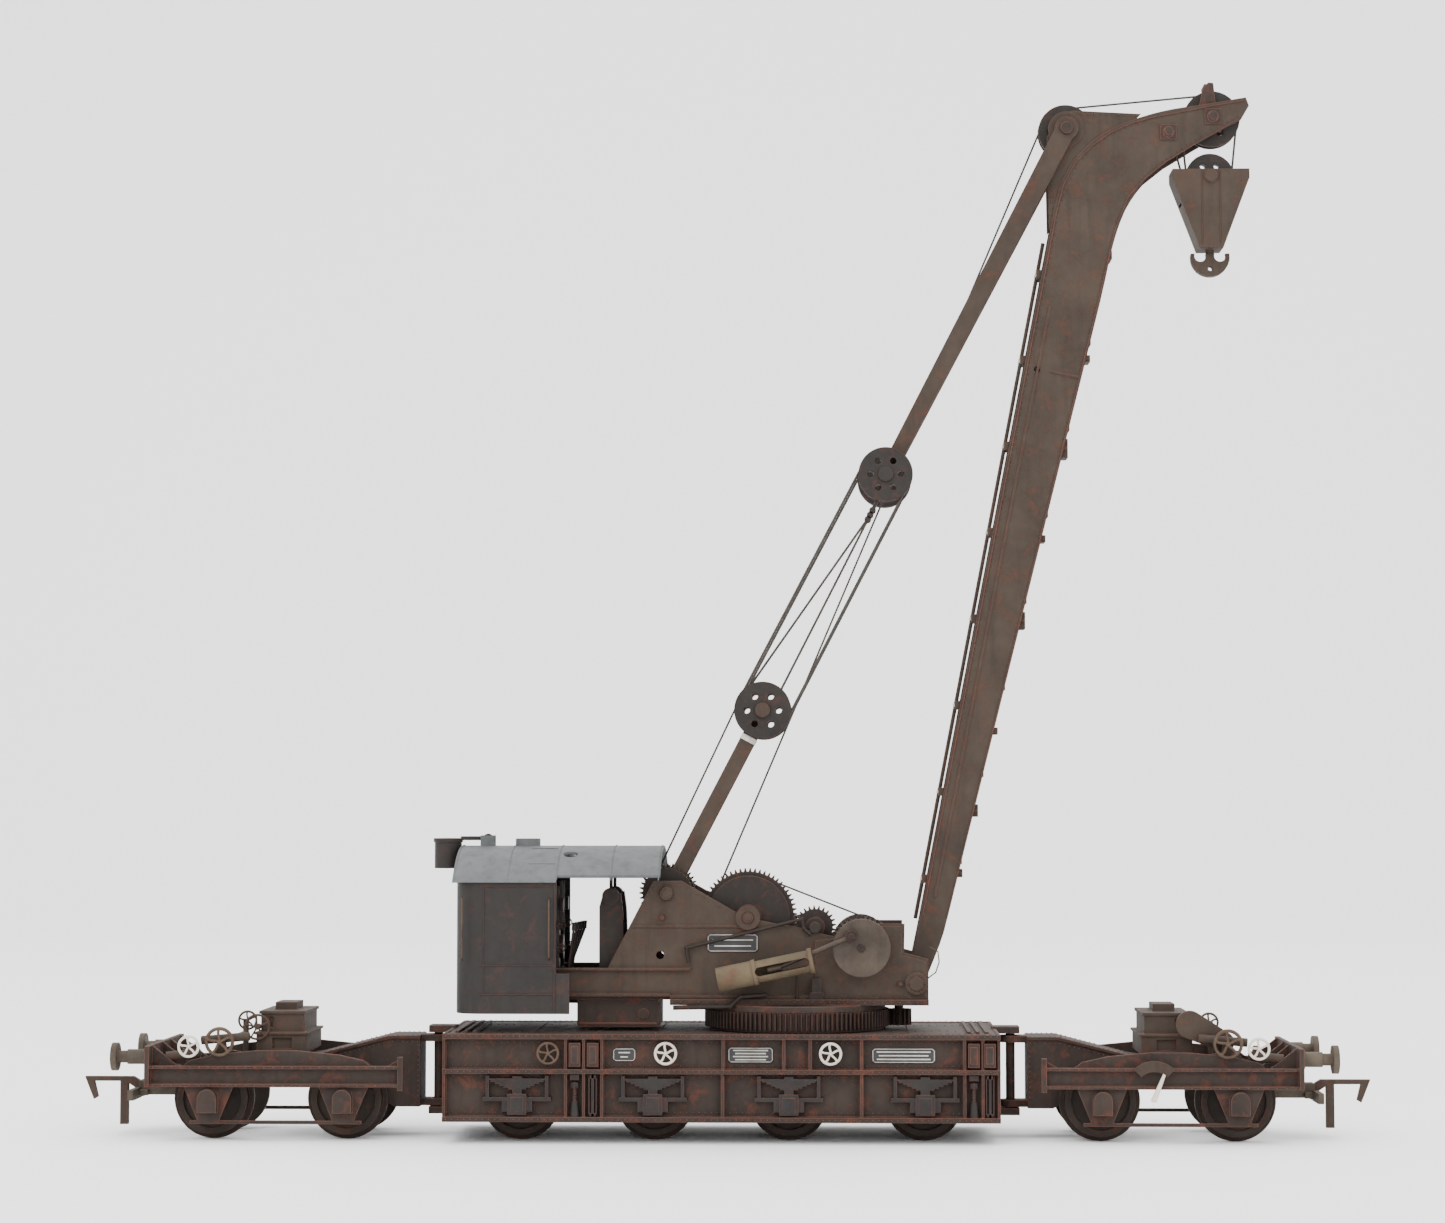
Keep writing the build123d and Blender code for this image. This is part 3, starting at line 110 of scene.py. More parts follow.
class CraneColours(bpy.types.PropertyGroup):
    """Paint and metal colours of the crane."""
    brown: colour_setting("Grime brown", "Weathered paint of the jib and cheeks", "362b22")
    red_brown: colour_setting("Oxide brown", "Weathered oxide paint of the carriage and bogies", "2d221c")
    # the rust colour also tints the worn edges, where it is painted lighter as a highlight
    rust: colour_setting("Rust", "Rust on edges and in patches", "5c3022")
    roof: colour_setting("Roof grey", "Faded paint of the cab roof", "505253")
    soot: colour_setting("Soot black", "Sooty paint of the cab and chimney", "181310")
    cream: colour_setting("Cylinder cream", "Faded paint of the cylinders", "544936")
    iron: colour_setting("Gear iron", "Greasy iron of gears and ring", "201914")
    white: colour_setting("Handwheel white", "Fresh paint of the white handwheels", "d2c9bb")
    rope: colour_setting("Rope", "Greased wire rope", "2c251e")


class CraneSizes(bpy.types.PropertyGroup):
    """Sizes of the fine pieces."""
    rivet_pitch: FloatProperty(name="Rivet pitch", description="Distance between rivets in a row",
                               default=0.00105, unit="LENGTH")
    rivet_radius: FloatProperty(name="Rivet radius", description="Radius of a rivet head",
                                default=0.00016, unit="LENGTH")
    rope_lay: FloatProperty(name="Rope lay", description="Length of one turn of a rope's strands",
                            default=0.0016, unit="LENGTH")
    spokes: IntProperty(name="Spokes", description="Spokes in each handwheel", default=5)


# ---- node and mesh helpers
def add_node(tree, kind, inputs=None, **settings):
    """Adds a node with its settings, values and links."""
    node = tree.nodes.new(kind)
    for name, value in settings.items():
        setattr(node, name, value)
    for key, value in (inputs or {}).items():
        if isinstance(value, bpy.types.NodeSocket):
            tree.links.new(value, node.inputs[key])
        else:
            node.inputs[key].default_value = value
    return node


def new_object(name, data):
    """Object at the origin, in the scene."""
    made = bpy.data.objects.new(name, data)
    bpy.context.scene.collection.objects.link(made)
    return made


def new_material(name):
    """Empty material, with its node tree and its Object coordinates."""
    material = bpy.data.materials.new(name)
    material.use_nodes = True
    tree = material.node_tree
    tree.nodes.clear()
    return material, tree, add_node(tree, "ShaderNodeTexCoord").outputs["Object"]


def box(bm, one, other):
    """Box between two opposite corners, in any order."""
    made = bmesh.ops.create_cube(bm, size=1.0)["verts"]
    size = [abs(b - a) for a, b in zip(one, other)]
    centre = (Vector(one) + Vector(other)) / 2
    bmesh.ops.transform(bm, matrix=Matrix.Translation(centre) @ Matrix.Diagonal((*size, 1)), verts=made)


def prism(bm, outline, y_from, y_to):
    """Solid with an outline in the XZ plane and two flat faces across the track."""
    near = [bm.verts.new((x, y_from, z)) for x, z in outline]
    far = [bm.verts.new((x, y_to, z)) for x, z in outline]
    faces = [bm.faces.new(near), bm.faces.new(far[::-1])]
    for here in range(len(outline)):
        there = (here + 1) % len(outline)
        faces.append(bm.faces.new((near[there], near[here], far[here], far[there])))
    bmesh.ops.recalc_face_normals(bm, faces=faces)


def cylinder(bm, start, end, radius, end_radius=None, segments=24):
    """Closed cylinder or cone between two points."""
    start, end = Vector(start), Vector(end)
    run = end - start
    turn = run.to_track_quat("Z", "Y").to_matrix().to_4x4()
    bmesh.ops.create_cone(bm, cap_ends=True, segments=segments, radius1=radius,
                          radius2=radius if end_radius is None else end_radius, depth=run.length,
                          matrix=Matrix.Translation((start + end) / 2) @ turn)


def sweep(bm, points, radius, sides=10, lobes=0, lay=1.6, closed=False):
    """Tube along points; with lobes it is a rope whose strands turn once in each lay."""
    points = [Vector(p) for p in points]
    if lobes:
        step = lay / 8
        fine = []
        for here, there in zip(points, points[1:]):
            count = max(1, round((there - here).length / step))
            fine += [here.lerp(there, k / count) for k in range(count)]
        points = fine + [points[-1]]
    rings = []
    normal = None
    travelled = 0.0
    count = len(points)
    for index, point in enumerate(points):
        before = points[index - 1] if index or closed else point
        after = points[(index + 1) % count] if index < count - 1 or closed else point
        along = (after - before).normalized()
        if normal is None:
            normal = along.orthogonal().normalized()
        normal = (normal - along * normal.dot(along)).normalized()
        side = along.cross(normal)
        if index:
            travelled += (point - points[index - 1]).length
        ring = []
        for k in range(sides):
            angle = 2 * math.pi * k / sides
            reach = radius
            if lobes:
                reach *= 0.78 + 0.22 * abs(math.cos(lobes * angle / 2))
                angle += 2 * math.pi * travelled / lay
            ring.append(bm.verts.new(point + reach * (math.cos(angle) * normal + math.sin(angle) * side)))
        rings.append(ring)
    pairs = list(zip(rings, rings[1:] + rings[:1])) if closed else list(zip(rings, rings[1:]))
    for here, there in pairs:
        for k in range(sides):
            j = (k + 1) % sides
            bm.faces.new((here[k], here[j], there[j], there[k]))
    if not closed:
        bm.faces.new(rings[0][::-1])
        bm.faces.new(rings[-1])


def circle_points(centre, radius, count=32, start=0.0, turn=2 * math.pi):
    """Points on a circle or arc in an XZ plane."""
    x, y, z = centre
    last = count if turn >= 2 * math.pi - 1e-6 else count - 1
    return [(x + radius * math.cos(start + turn * k / last), y,
             z + radius * math.sin(start + turn * k / last))
            for k in range(count)]


def handwheel(bm, centre, radius, facing):
    """Cast handwheel: round rim, hub and evenly bowed spokes."""
    x, y, z = centre
    spokes = bpy.context.scene.crane_sizes.spokes
    rim = 0.12 * radius
    sweep(bm, circle_points((x, y, z), radius - rim, 36), rim, sides=8, closed=True)
    cylinder(bm, (x, y - 0.2 * facing, z), (x, y + 0.32 * facing, z), 0.17 * radius, 0.14 * radius, 16)
    for spoke in range(spokes):
        angle = 2 * math.pi * spoke / spokes + 0.5 * math.pi
        route = []
        for k in range(6):
            share = k / 5
            bow = angle + 0.16 * math.sin(math.pi * share)
            reach = radius * (0.12 + 0.80 * share)
            route.append((x + reach * math.cos(bow), y, z + reach * math.sin(bow)))
        sweep(bm, route, 0.1 * radius, sides=6)


def finish_piece(name, bm, finish, body, bevel=0.0, smooth=40):
    """Turns a mesh drawn in millimetres into a finished piece that rides on a body."""
    bmesh.ops.scale(bm, vec=(MM, MM, MM), verts=bm.verts)
    bmesh.ops.recalc_face_normals(bm, faces=bm.faces)
    mesh = bpy.data.meshes.new(name)
    bm.to_mesh(mesh)
    bm.free()
    mesh.shade_smooth()
    mesh.set_sharp_from_angle(angle=math.radians(smooth))
    mesh.materials.append(FINISH[finish])
    piece = new_object(name, mesh)
    if bevel:
        rounding = piece.modifiers.new("Rounded edges", "BEVEL")
        rounding.width = bevel * MM
        rounding.segments = 2
        rounding.limit_method = "ANGLE"
    if body:
        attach(piece, body)
    return piece


# ---- finishes
def weathered_paint(name, paint, deep, rust, rust_share=0.35, edge_rust_and_highlight_share=0.6, dust="4d443a", dust_share=0.12,
                    streaks=0.35, roughness=0.78, metallic=0.0, relief=0.05):
    """Enamel sprayed on, then grimed and rusted: patches, runs down the sides, worn rusty edges painted
    lighter as a highlight, dust on top.
    """
    material, tree, place = new_material(name)
    # blotches about 6 mm across
    blotch = add_node(tree, "ShaderNodeTexNoise",
                      {"Vector": place, "Scale": 160, "Detail": 7, "Roughness": 0.62})
    patch = add_node(tree, "ShaderNodeMapRange",
                     {"Value": blotch.outputs[0], "From Min": 0.36, "From Max": 0.66})
    paint_mix = add_node(tree, "ShaderNodeMix",
                         {"Factor": patch.outputs[0], "A": rgba(paint), "B": rgba(deep)},
                         data_type="RGBA")
    # runs: noise drawn out downwards
    drawn = add_node(tree, "ShaderNodeMapping", {"Vector": place, "Scale": (700, 700, 70)})
    run = add_node(tree, "ShaderNodeTexNoise", {"Vector": drawn.outputs[0], "Scale": 1.0, "Detail": 4,
                                                "Roughness": 0.6})
    run_share = add_node(tree, "ShaderNodeMapRange",
                         {"Value": run.outputs[0], "From Min": 0.5, "From Max": 0.75,
                          "To Max": streaks})
    dark = shade(deep, 0.42)
    run_mix = add_node(tree, "ShaderNodeMix",
                       {"Factor": run_share.outputs[0], "A": paint_mix.outputs["Result"],
                        "B": rgba(dark)}, data_type="RGBA")
    # rust patches about 3 mm across, broken up by a finer noise
    rust_noise = add_node(tree, "ShaderNodeTexNoise", {"Vector": place, "Scale": 320, "Detail": 8,
                                                       "Roughness": 0.7, "Distortion": 0.4})
    rust_at = add_node(tree, "ShaderNodeMapRange", {"Value": rust_noise.outputs[0], "From Min": 0.52,
                                                    "From Max": 0.68, "To Max": rust_share})
    rust_mix = add_node(tree, "ShaderNodeMix", {"Factor": rust_at.outputs[0], "A": run_mix.outputs["Result"],
                                                "B": rgba(rust)}, data_type="RGBA")
    # worn, rusty edges with a painted highlight: where a rounded normal leaves the true one, the rust is
    # painted in lighter than rust
    surface = add_node(tree, "ShaderNodeNewGeometry")
    rounded = add_node(tree, "ShaderNodeBevel", {"Radius": 0.00028}, samples=4)
    same = add_node(tree, "ShaderNodeVectorMath", {0: rounded.outputs[0], 1: surface.outputs["Normal"]},
                    operation="DOT_PRODUCT")
    edge = add_node(tree, "ShaderNodeMapRange", {"Value": same.outputs["Value"], "From Min": 0.99,
                                                 "From Max": 0.80, "To Max": edge_rust_and_highlight_share})
    # painted highlight: the edges get the rust colour made lighter, as if light caught them
    edge_rust_with_painted_highlight = tuple(min(1.0, 1.35 * c + 0.02) for c in rust[:3])
    edge_rust_and_highlight_mix = add_node(tree, "ShaderNodeMix", {"Factor": edge.outputs[0], "A": rust_mix.outputs["Result"],
                                                "B": rgba(edge_rust_with_painted_highlight)}, data_type="RGBA")
    # dust that settles on what faces up
    upward = add_node(tree, "ShaderNodeSeparateXYZ", {0: surface.outputs["Normal"]})
    dust_at = add_node(tree, "ShaderNodeMapRange", {"Value": upward.outputs["Z"], "From Min": 0.5,
                                                    "From Max": 1.0, "To Max": dust_share})
    dust_mix = add_node(tree, "ShaderNodeMix",
                        {"Factor": dust_at.outputs[0], "A": edge_rust_and_highlight_mix.outputs["Result"],
                         "B": rgba(linear(dust))}, data_type="RGBA")
    # grain of the sprayed coat, drawn at 0.15 mm so that it shows
    grain = add_node(tree, "ShaderNodeTexNoise", {"Vector": place, "Scale": 5200, "Detail": 3})
    bump = add_node(tree, "ShaderNodeBump",
                    {"Strength": 0.35, "Distance": relief * MM, "Height": grain.outputs[0],
                     "Normal": rounded.outputs[0]})
    dull = add_node(tree, "ShaderNodeMapRange", {"Value": rust_noise.outputs[0], "To Min": roughness - 0.12,
                                                 "To Max": min(1.0, roughness + 0.14)})
    shader = add_node(tree, "ShaderNodeBsdfPrincipled", {"Base Color": dust_mix.outputs["Result"],
                                                         "Roughness": dull.outputs[0], "Metallic": metallic,
                                                         "Specular IOR Level": 0.32,
                                                         "Normal": bump.outputs[0]})
    add_node(tree, "ShaderNodeOutputMaterial", {"Surface": shader.outputs[0]})
    return material


def wire_rope(name, rope):
    """Greased wire rope: dark strands with dry, lighter crowns."""
    material, tree, place = new_material(name)
    grease = add_node(tree, "ShaderNodeTexNoise", {"Vector": place, "Scale": 900, "Detail": 5})
    tone = add_node(tree, "ShaderNodeMapRange",
                    {"Value": grease.outputs[0], "From Min": 0.35, "From Max": 0.7})
    colour = add_node(tree, "ShaderNodeMix", {"Factor": tone.outputs[0], "A": rgba(shade(rope, 0.55)),
                                              "B": rgba(shade(rope, 1.5))}, data_type="RGBA")
    fibre = add_node(tree, "ShaderNodeTexNoise", {"Vector": place, "Scale": 9000, "Detail": 2})
    bump = add_node(tree, "ShaderNodeBump",
                    {"Strength": 0.4, "Distance": 0.00004, "Height": fibre.outputs[0]})
    shader = add_node(tree, "ShaderNodeBsdfPrincipled", {"Base Color": colour.outputs["Result"],
                                                         "Roughness": 0.7, "Normal": bump.outputs[0]})
    add_node(tree, "ShaderNodeOutputMaterial", {"Surface": shader.outputs[0]})
    return material


def shade(colour, amount):
    """The colour, darker or lighter by a factor."""
    return tuple(amount * v for v in colour)


def make_finishes():
    """Every finish of the crane, from the colours in the panel."""
    c = bpy.context.scene.crane_colours
    rust = tuple(c.rust)
    return {
        "jib": weathered_paint("Grimed brown enamel", c.brown, shade(c.brown, 0.62), rust, 0.3, 0.3),
        "frame": weathered_paint("Grimed oxide enamel", c.red_brown, shade(c.red_brown, 0.5), rust, 0.5,
                                 0.8),
        "deck": weathered_paint("Dusty deck plate", c.red_brown, shade(c.red_brown, 0.7), rust, 0.3, 0.5,
                                dust_share=0.3),
        "roof": weathered_paint("Faded grey roof enamel", c.roof, shade(c.roof, 0.74), shade(c.roof, 0.3),
                                0.14,
                                0.25, dust="646665", dust_share=0.1, streaks=0.5, roughness=0.62),
        "cab": weathered_paint("Sooty black enamel", c.soot, shade(c.soot, 0.6), rust, 0.2, 0.28,
                               streaks=0.5,
                               roughness=0.6),
        "cream": weathered_paint("Stained cream enamel", c.cream, shade(c.cream, 0.6), rust, 0.4, 0.3,
                                 streaks=0.4),
        "buffer": weathered_paint("Dusty cast iron", linear("4c4336"), linear("322b23"), rust, 0.25, 0.25,
                                  roughness=0.7),
        "iron": weathered_paint("Greasy cast iron", c.iron, shade(c.iron, 0.5), rust, 0.25, 0.35,
                                dust_share=0.08,
                                roughness=0.6, metallic=0.25),
        "axlebox": weathered_paint("Oily blue-black iron", linear("201c1a"), linear("12100f"), rust, 0.22,
                                   0.4,
                                   roughness=0.5, metallic=0.2),
        "steel": weathered_paint("Rusty tyre steel", linear("281f18"), linear("17120e"), rust, 0.3, 0.4,
                                 roughness=0.6, metallic=0.35),
        "sheave": weathered_paint("Dark sheave iron", linear("211c18"), linear("14110f"), rust, 0.25, 0.25,
                                  roughness=0.6, metallic=0.2),
        "disc": weathered_paint("Rubbed crank steel", linear("443a31"), linear("2c2620"), rust, 0.18, 0.3,
                                roughness=0.5, metallic=0.35),
        "white": weathered_paint("White handwheel enamel", c.white, shade(c.white, 0.8), rust, 0.12, 0.12,
                                 streaks=0.15, roughness=0.55),
        "bronze": weathered_paint("Brown handwheel bronze", linear("4d4134"), linear("31291f"), rust, 0.25,
                                  0.4,
                                  roughness=0.5, metallic=0.4),
        "plate": weathered_paint("Black notice enamel", linear("2b2a2b"), linear("1b1a1b"), rust, 0.15, 0.1,
                                 streaks=0.1, roughness=0.5),
        "letter": weathered_paint("White notice enamel", linear("c9c5bd"), linear("8e8a83"), rust, 0.15, 0.0,
                                  streaks=0.1, roughness=0.6),
        "rope": wire_rope("Greased wire rope", tuple(c.rope)),
    }


FINISH = {}

# finish of each CAD node, by how its name starts
NODE_FINISH = {
    "frame": ("carriage_frame", "relieving_girder", "bogie_frame", "propping_girder", "ballast_box",
              "base_plate"),
    "deck": ("carriage_deck",),
    "jib": ("side_cheeks", "jib_frame", "jib_lacing", "link_bars", "tie_bars", "hook_block", "ramshorn_hook",
            "load_box", "coupling_hook"),
    "iron": ("slewing_ring", "slewing_pinion", "idler_gear", "clutch_gear", "derrick_drum", "hoist_drum",
             "steam_plant"),
    "axlebox": ("axlebox_springs",),
    "disc": ("crank_and_rods",),
    "sheave": ("guide_sheave", "head_sheave", "lower_sheaves", "upper_sheaves", "upper_axle",
               "block_sheave"),
    "roof": ("cab_roof",),
    "cab": ("cab_body", "chimney"),
    "cream": ("cylinders",),
    "steel": ("carriage_wheelset", "bogie_wheelset"),
    "buffer": ("draw_gear",),
    "rope": ("hoist_rope", "hoist_rope_top", "jib_head_rope", "hook_falls", "derrick_ropes"),
    "bronze": ("jacks_and_handwheels", "bogie_handwheels"),
}


class CRANE_OT_finish_cad(bpy.types.Operator):
    """Give every CAD node its finish"""
    bl_idname = "crane.finish_cad"
    bl_label = "Finish the CAD nodes"

    def execute(self, context):
        FINISH.update(make_finishes())
        for node, piece in NODES.items():
            found = [key for key, starts in NODE_FINISH.items() if any(node.startswith(s) for s in starts)]
            if not found:
                raise RuntimeError(f"no finish for {node}")
            piece.data.materials.clear()
            piece.data.materials.append(FINISH[found[0]])
        return {"FINISHED"}


# ---- rivets
def rivet_tree():
    """Geometry Nodes: rivet heads at an even pitch along wires."""
    tree = bpy.data.node_groups.new("Rivet rows", "GeometryNodeTree")
    for name, kind in (("Wires", "Geometry"), ("Pitch", "Float"), ("Head radius", "Float"),
                       ("Size scatter", "Float"),
                       ("Seed", "Int"), ("Finish", "Material")):
        tree.interface.new_socket(name, in_out="INPUT", socket_type=f"NodeSocket{kind}")
    tree.interface.new_socket("Rivets", in_out="OUTPUT", socket_type="NodeSocketGeometry")
    given = add_node(tree, "NodeGroupInput").outputs
    wires = add_node(tree, "GeometryNodeMeshToCurve", {0: given["Wires"]})
    spaced = add_node(tree, "GeometryNodeResampleCurve",
                      {"Curve": wires.outputs[0], "Length": given["Pitch"]},
                      mode="LENGTH")
    head = add_node(tree, "GeometryNodeMeshUVSphere",
                    {"Segments": 8, "Rings": 5, "Radius": given["Head radius"]})
    least = add_node(tree, "ShaderNodeMath", {0: 1.0, 1: given["Size scatter"]}, operation="SUBTRACT")
    size = add_node(tree, "FunctionNodeRandomValue", {2: least.outputs[0], 3: 1.0, "Seed": given["Seed"]},
                    data_type="FLOAT")
    placed = add_node(tree, "GeometryNodeInstanceOnPoints",
                      {"Points": spaced.outputs[0], "Instance": head.outputs[0],
                      "Scale": size.outputs[1]})
    real = add_node(tree, "GeometryNodeRealizeInstances", {0: placed.outputs[0]})
    done = add_node(tree, "GeometryNodeSetMaterial", {0: real.outputs[0], "Material": given["Finish"]})
    add_node(tree, "NodeGroupOutput", {0: done.outputs[0]})
    return tree


def rivet_piece(name, rows, finish, body, seed, pitch_factor=1.0, radius_factor=1.0):
    """Rivets along rows of points in millimetres, as one plain mesh on one body."""
    sizes = bpy.context.scene.crane_sizes
    wire = bpy.data.meshes.new(name)
    points, edges = [], []
    for row in rows:
        first = len(points)
        points += [tuple(v * MM for v in p) for p in row]
        edges += [(first + k, first + k + 1) for k in range(len(row) - 1)]
    wire.from_pydata(points, edges, [])
    piece = new_object(name, wire)
    tree = bpy.data.node_groups.get("Rivet rows") or rivet_tree()
    rows_made = piece.modifiers.new("Rivets", "NODES")
    rows_made.node_group = tree
    values = {"Pitch": sizes.rivet_pitch * pitch_factor, "Head radius": sizes.rivet_radius * radius_factor,
              "Size scatter": 0.25, "Seed": seed, "Finish": FINISH[finish]}
    for item in tree.interface.items_tree:
        if item.in_out == "INPUT" and item.name in values:
            rows_made[item.identifier] = values[item.name]
    evaluated = piece.evaluated_get(bpy.context.evaluated_depsgraph_get())
    made = bpy.data.meshes.new_from_object(evaluated)
    piece.modifiers.remove(rows_made)
    piece.data = made
    made.name = name
    made.shade_smooth()
    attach(piece, body)


def both_faces(rows):
    """Rows on the near face, and their twins on the far face."""
    return rows + [[(x, -y, z) for x, y, z in row] for row in rows]


class CRANE_OT_rivets(bpy.types.Operator):
    """Rivet rows on the carriage, girders, bogies, superstructure, cab and jib"""
    bl_idname = "crane.rivets"
    bl_label = "Rivets"

    def execute(self, context):
        low = low_high("carriage_frame")[0]
        half = 47.2
        rim_y, web_y = low.y, low.y + 1.6
        deck_half, deck_edge, deck_seam = 46, 13.6, 7.0
        rows = []
        for z in (FLANGE_TOP - 0.35, 12.4, low.z + 0.45):
            rows.append([(-half, rim_y, z), (half, rim_y, z)])
        for z in (17.3, 13.3, 11.5, 5.3):
            rows.append([(-half, web_y, z), (half, web_y, z)])
        rows.append([(-half, rim_y + 0.8, FLANGE_TOP), (half, rim_y + 0.8, FLANGE_TOP)])
        rows = both_faces(rows)
        rivet_piece("carriage_rivets", rows, "frame", "carriage", 3)
        deck_rows = [[(-deck_half, y, DECK_TOP), (deck_half, y, DECK_TOP)]
                     for y in (-deck_edge, -deck_seam, deck_seam, deck_edge)]
        for k in range(9):
            x = -43.0 + 10.75 * k
            deck_rows.append([(x, -deck_edge, DECK_TOP), (x, deck_edge, DECK_TOP)])
        rivet_piece("deck_rivets", deck_rows, "deck", "carriage", 5, 1.3, 0.9)
        for side, sign in ENDS:
            rows = both_faces([[(sign * 53.6, -4.6, 17.6), (sign * 58.5, -4.6, 17.6),
                                (sign * 71.4, -4.6, 14.3)],
                               [(sign * 53.6, -4.4, 16.5), (sign * 58.5, -4.4, 16.5),
                                (sign * 71.4, -4.4, 13.2)],
                               [(sign * 53.5, -4.4, 6.2), (sign * 53.5, -4.4, 16.0)]])
            rivet_piece(f"girder_rivets_{side}", rows, "frame", f"relieving_girder_{side}", 7, 0.8)
            rows = both_faces([[(sign * 56.4, -14.6, z), (sign * 98.2, -14.6, z)] for z in (9.65, 12.75)])
            rivet_piece(f"bogie_rivets_{side}", rows, "frame", f"bogie_{side}", 9, 1.5,
                        0.85)
        face = -CHEEK_FACE
        rows = [
            [(-43.5, face - 0.9, 29.5), (-6.0, face - 0.9, 29.5)],
            [(-43.5, face - 0.9, 25.05), (-9.5, face - 0.9, 25.05)],
            [(-8.6, face - 0.9, 24.7), (15.8, face - 0.9, 24.7)],
            [(-19.2, face, 30.3), (-11.7, face, 44.2), (-7.2, face, 44.2), (2.4, face, 38.7)],
            [(16.6, face - 0.35, 25.0), (35.0, face - 0.35, 25.0)],
            [(16.6, face - 0.35, 25.0), (16.6, face - 0.35, 34.0)],
            [(-15.4, face - 0.25, 36.9), (5.0, face - 0.25, 36.9)],
        ]
        rivet_piece("cheek_rivets", both_faces(rows), "jib", "superstructure", 11, 1.0, 0.8)
        rows = [[(-8.6, -11.0, 23.9), (35.4, -11.0, 23.9)]]
        rivet_piece("base_rivets", both_faces(rows), "frame", "superstructure", 13, 1.4)
        jib_face = -JIB_FACE
        rear = [(35.2, 39.0), (58.1, 155.0), (59.7, 164.0), (62.9, 171.6), (69.2, 177.2), (76.5, 179.9),
                (92.0, 182.7)]
        front = [(39.6, 40.0), (66.2, 147.0), (69.8, 161.6), (74.9, 169.8), (83.7, 175.8), (91.4, 180.0)]
        jib_rows = [[(x, jib_face, z) for x, z in line] for line in (rear, front)]
        jib_rows.append([(58.4, jib_face, 160.5), (58.2, jib_face, 176.2), (60.0, jib_face, 179.8),
                         (62.3, jib_face, 180.7), (73.5, jib_face, 180.2)])
        rivet_piece("jib_rivets", both_faces(jib_rows), "jib", "jib", 17, 1.0, 1.0)
        return {"FINISHED"}


# ---- ropes
def rope_piece(name, runs, radius):
    """Twisted rope along straight runs in millimetres, riding on nothing yet."""
    lay = bpy.context.scene.crane_sizes.rope_lay / MM * radius / 0.22
    bm = bmesh.new()
    for run in runs:
        sweep(bm, run, radius, sides=9, lobes=3, lay=lay)
    return finish_piece(name, bm, "rope", None, smooth=60)


def arc_over(centre, radius, start, end, y=0.0, steps=14):
    """Points round a sheave from one angle to another, in degrees."""
    x, z = centre
    points = []
    for k in range(steps + 1):
        angle = math.radians(start + (end - start) * k / steps)
        points.append((x + radius * math.cos(angle), y, z + radius * math.sin(angle)))
    return points


def centre_of(node):
    """Middle of a CAD node, in millimetres."""
    low, high = low_high(node)
    return (low + high) / 2


class CRANE_OT_ropes(bpy.types.Operator):
    """Hoist rope, derricking falls and hook falls as twisted wire rope"""
    bl_idname = "crane.ropes"
    bl_label = "Ropes"

    def execute(self, context):
        lower, upper = centre_of("lower_sheaves"), centre_of("upper_sheaves")
        run = (upper - lower).normalized()
        across = Vector((-run.z, 0, run.x))
        lean = math.degrees(math.atan2(run.z, run.x))
        low_groove, high_groove, block_y, lanes = 4.55, 4.35, 5.6, (-0.32, 0.32)
        falls = []
        for side in (-1, 1):
            low_point = lower + side * low_groove * across
            high_point = upper + side * high_groove * across
            for lane in lanes:
                for y in (-block_y, block_y):
                    falls.append([(low_point.x, y + lane, low_point.z),
                                  (high_point.x, y + lane, high_point.z)])
        becket = upper - 7.6 * run - 0.9 * across + Vector((0, -block_y, 0))
        for end in (lower + 4.3 * across + Vector((0, -5.0, 0)),
                    lower - 1.2 * across + 4.2 * run + Vector((0, -5.3, 0))):
            falls.append([tuple(becket), tuple(end)])
        tackle = rope_piece("derrick_falls", falls, 0.24)
        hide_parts("derrick_ropes")
        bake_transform(tackle)
        wraps_low = [arc_over((lower.x, lower.z), low_groove, lean + 90, lean + 270, y + lane)
                     for y in (-block_y, block_y) for lane in lanes]
        lead = [(PEAK.x - 3.1, 0, PEAK.z + 1.2), tuple(Vector((lower.x, -4.9, lower.z)) + 4.5 * across)]
        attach(rope_piece("derrick_lead", wraps_low + [lead], 0.2), "link_bars")
        wraps_high = [arc_over((upper.x, upper.z), high_groove, lean - 90, lean + 90, y + lane)
                      for y in (-block_y, block_y) for lane in lanes]
        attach(rope_piece("upper_wraps", wraps_high, 0.2), "upper_axle")
        start = low_high("hoist_rope")[0]
        finish = low_high("hoist_rope_top")[1]
        hoist = rope_piece("hoist_rope_twisted", [[(start.x, 0, start.z), (finish.x, 0, finish.z)]], 0.2)
        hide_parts("hoist_rope", "hoist_rope_top")
        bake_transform(hoist)
        head_groove, block_groove = 4.56, 3.95
        over = arc_over((GUIDE.x, GUIDE.z), 4.36, 157, 86)
        over += arc_over((HEAD.x, HEAD.z), head_groove, 86, 0)
        jib_rope = rope_piece("head_rope", [over], 0.2)
        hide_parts("jib_head_rope")
        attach(jib_rope, "jib")
        block = centre_of("block_sheave")
        falls = [[(HEAD.x + head_groove, 0, HEAD.z - 0.6), (block.x + block_groove, 0, block.z + 0.4)],
                 [(80.6, -0.5, 174.4), (block.x - 5.0, -0.5, 170.5)],
                 [(82.1, 0.3, 175.0), (block.x - block_groove, 0.3, block.z + 0.4)]]
        hook_rope = rope_piece("hook_falls_twisted", falls, 0.22)
        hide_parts("hook_falls")
        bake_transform(hook_rope)
        wrap = arc_over((block.x, block.z), block_groove, 0, -180)
        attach(rope_piece("block_wrap", [wrap], 0.17), "hook_block")
        return {"FINISHED"}


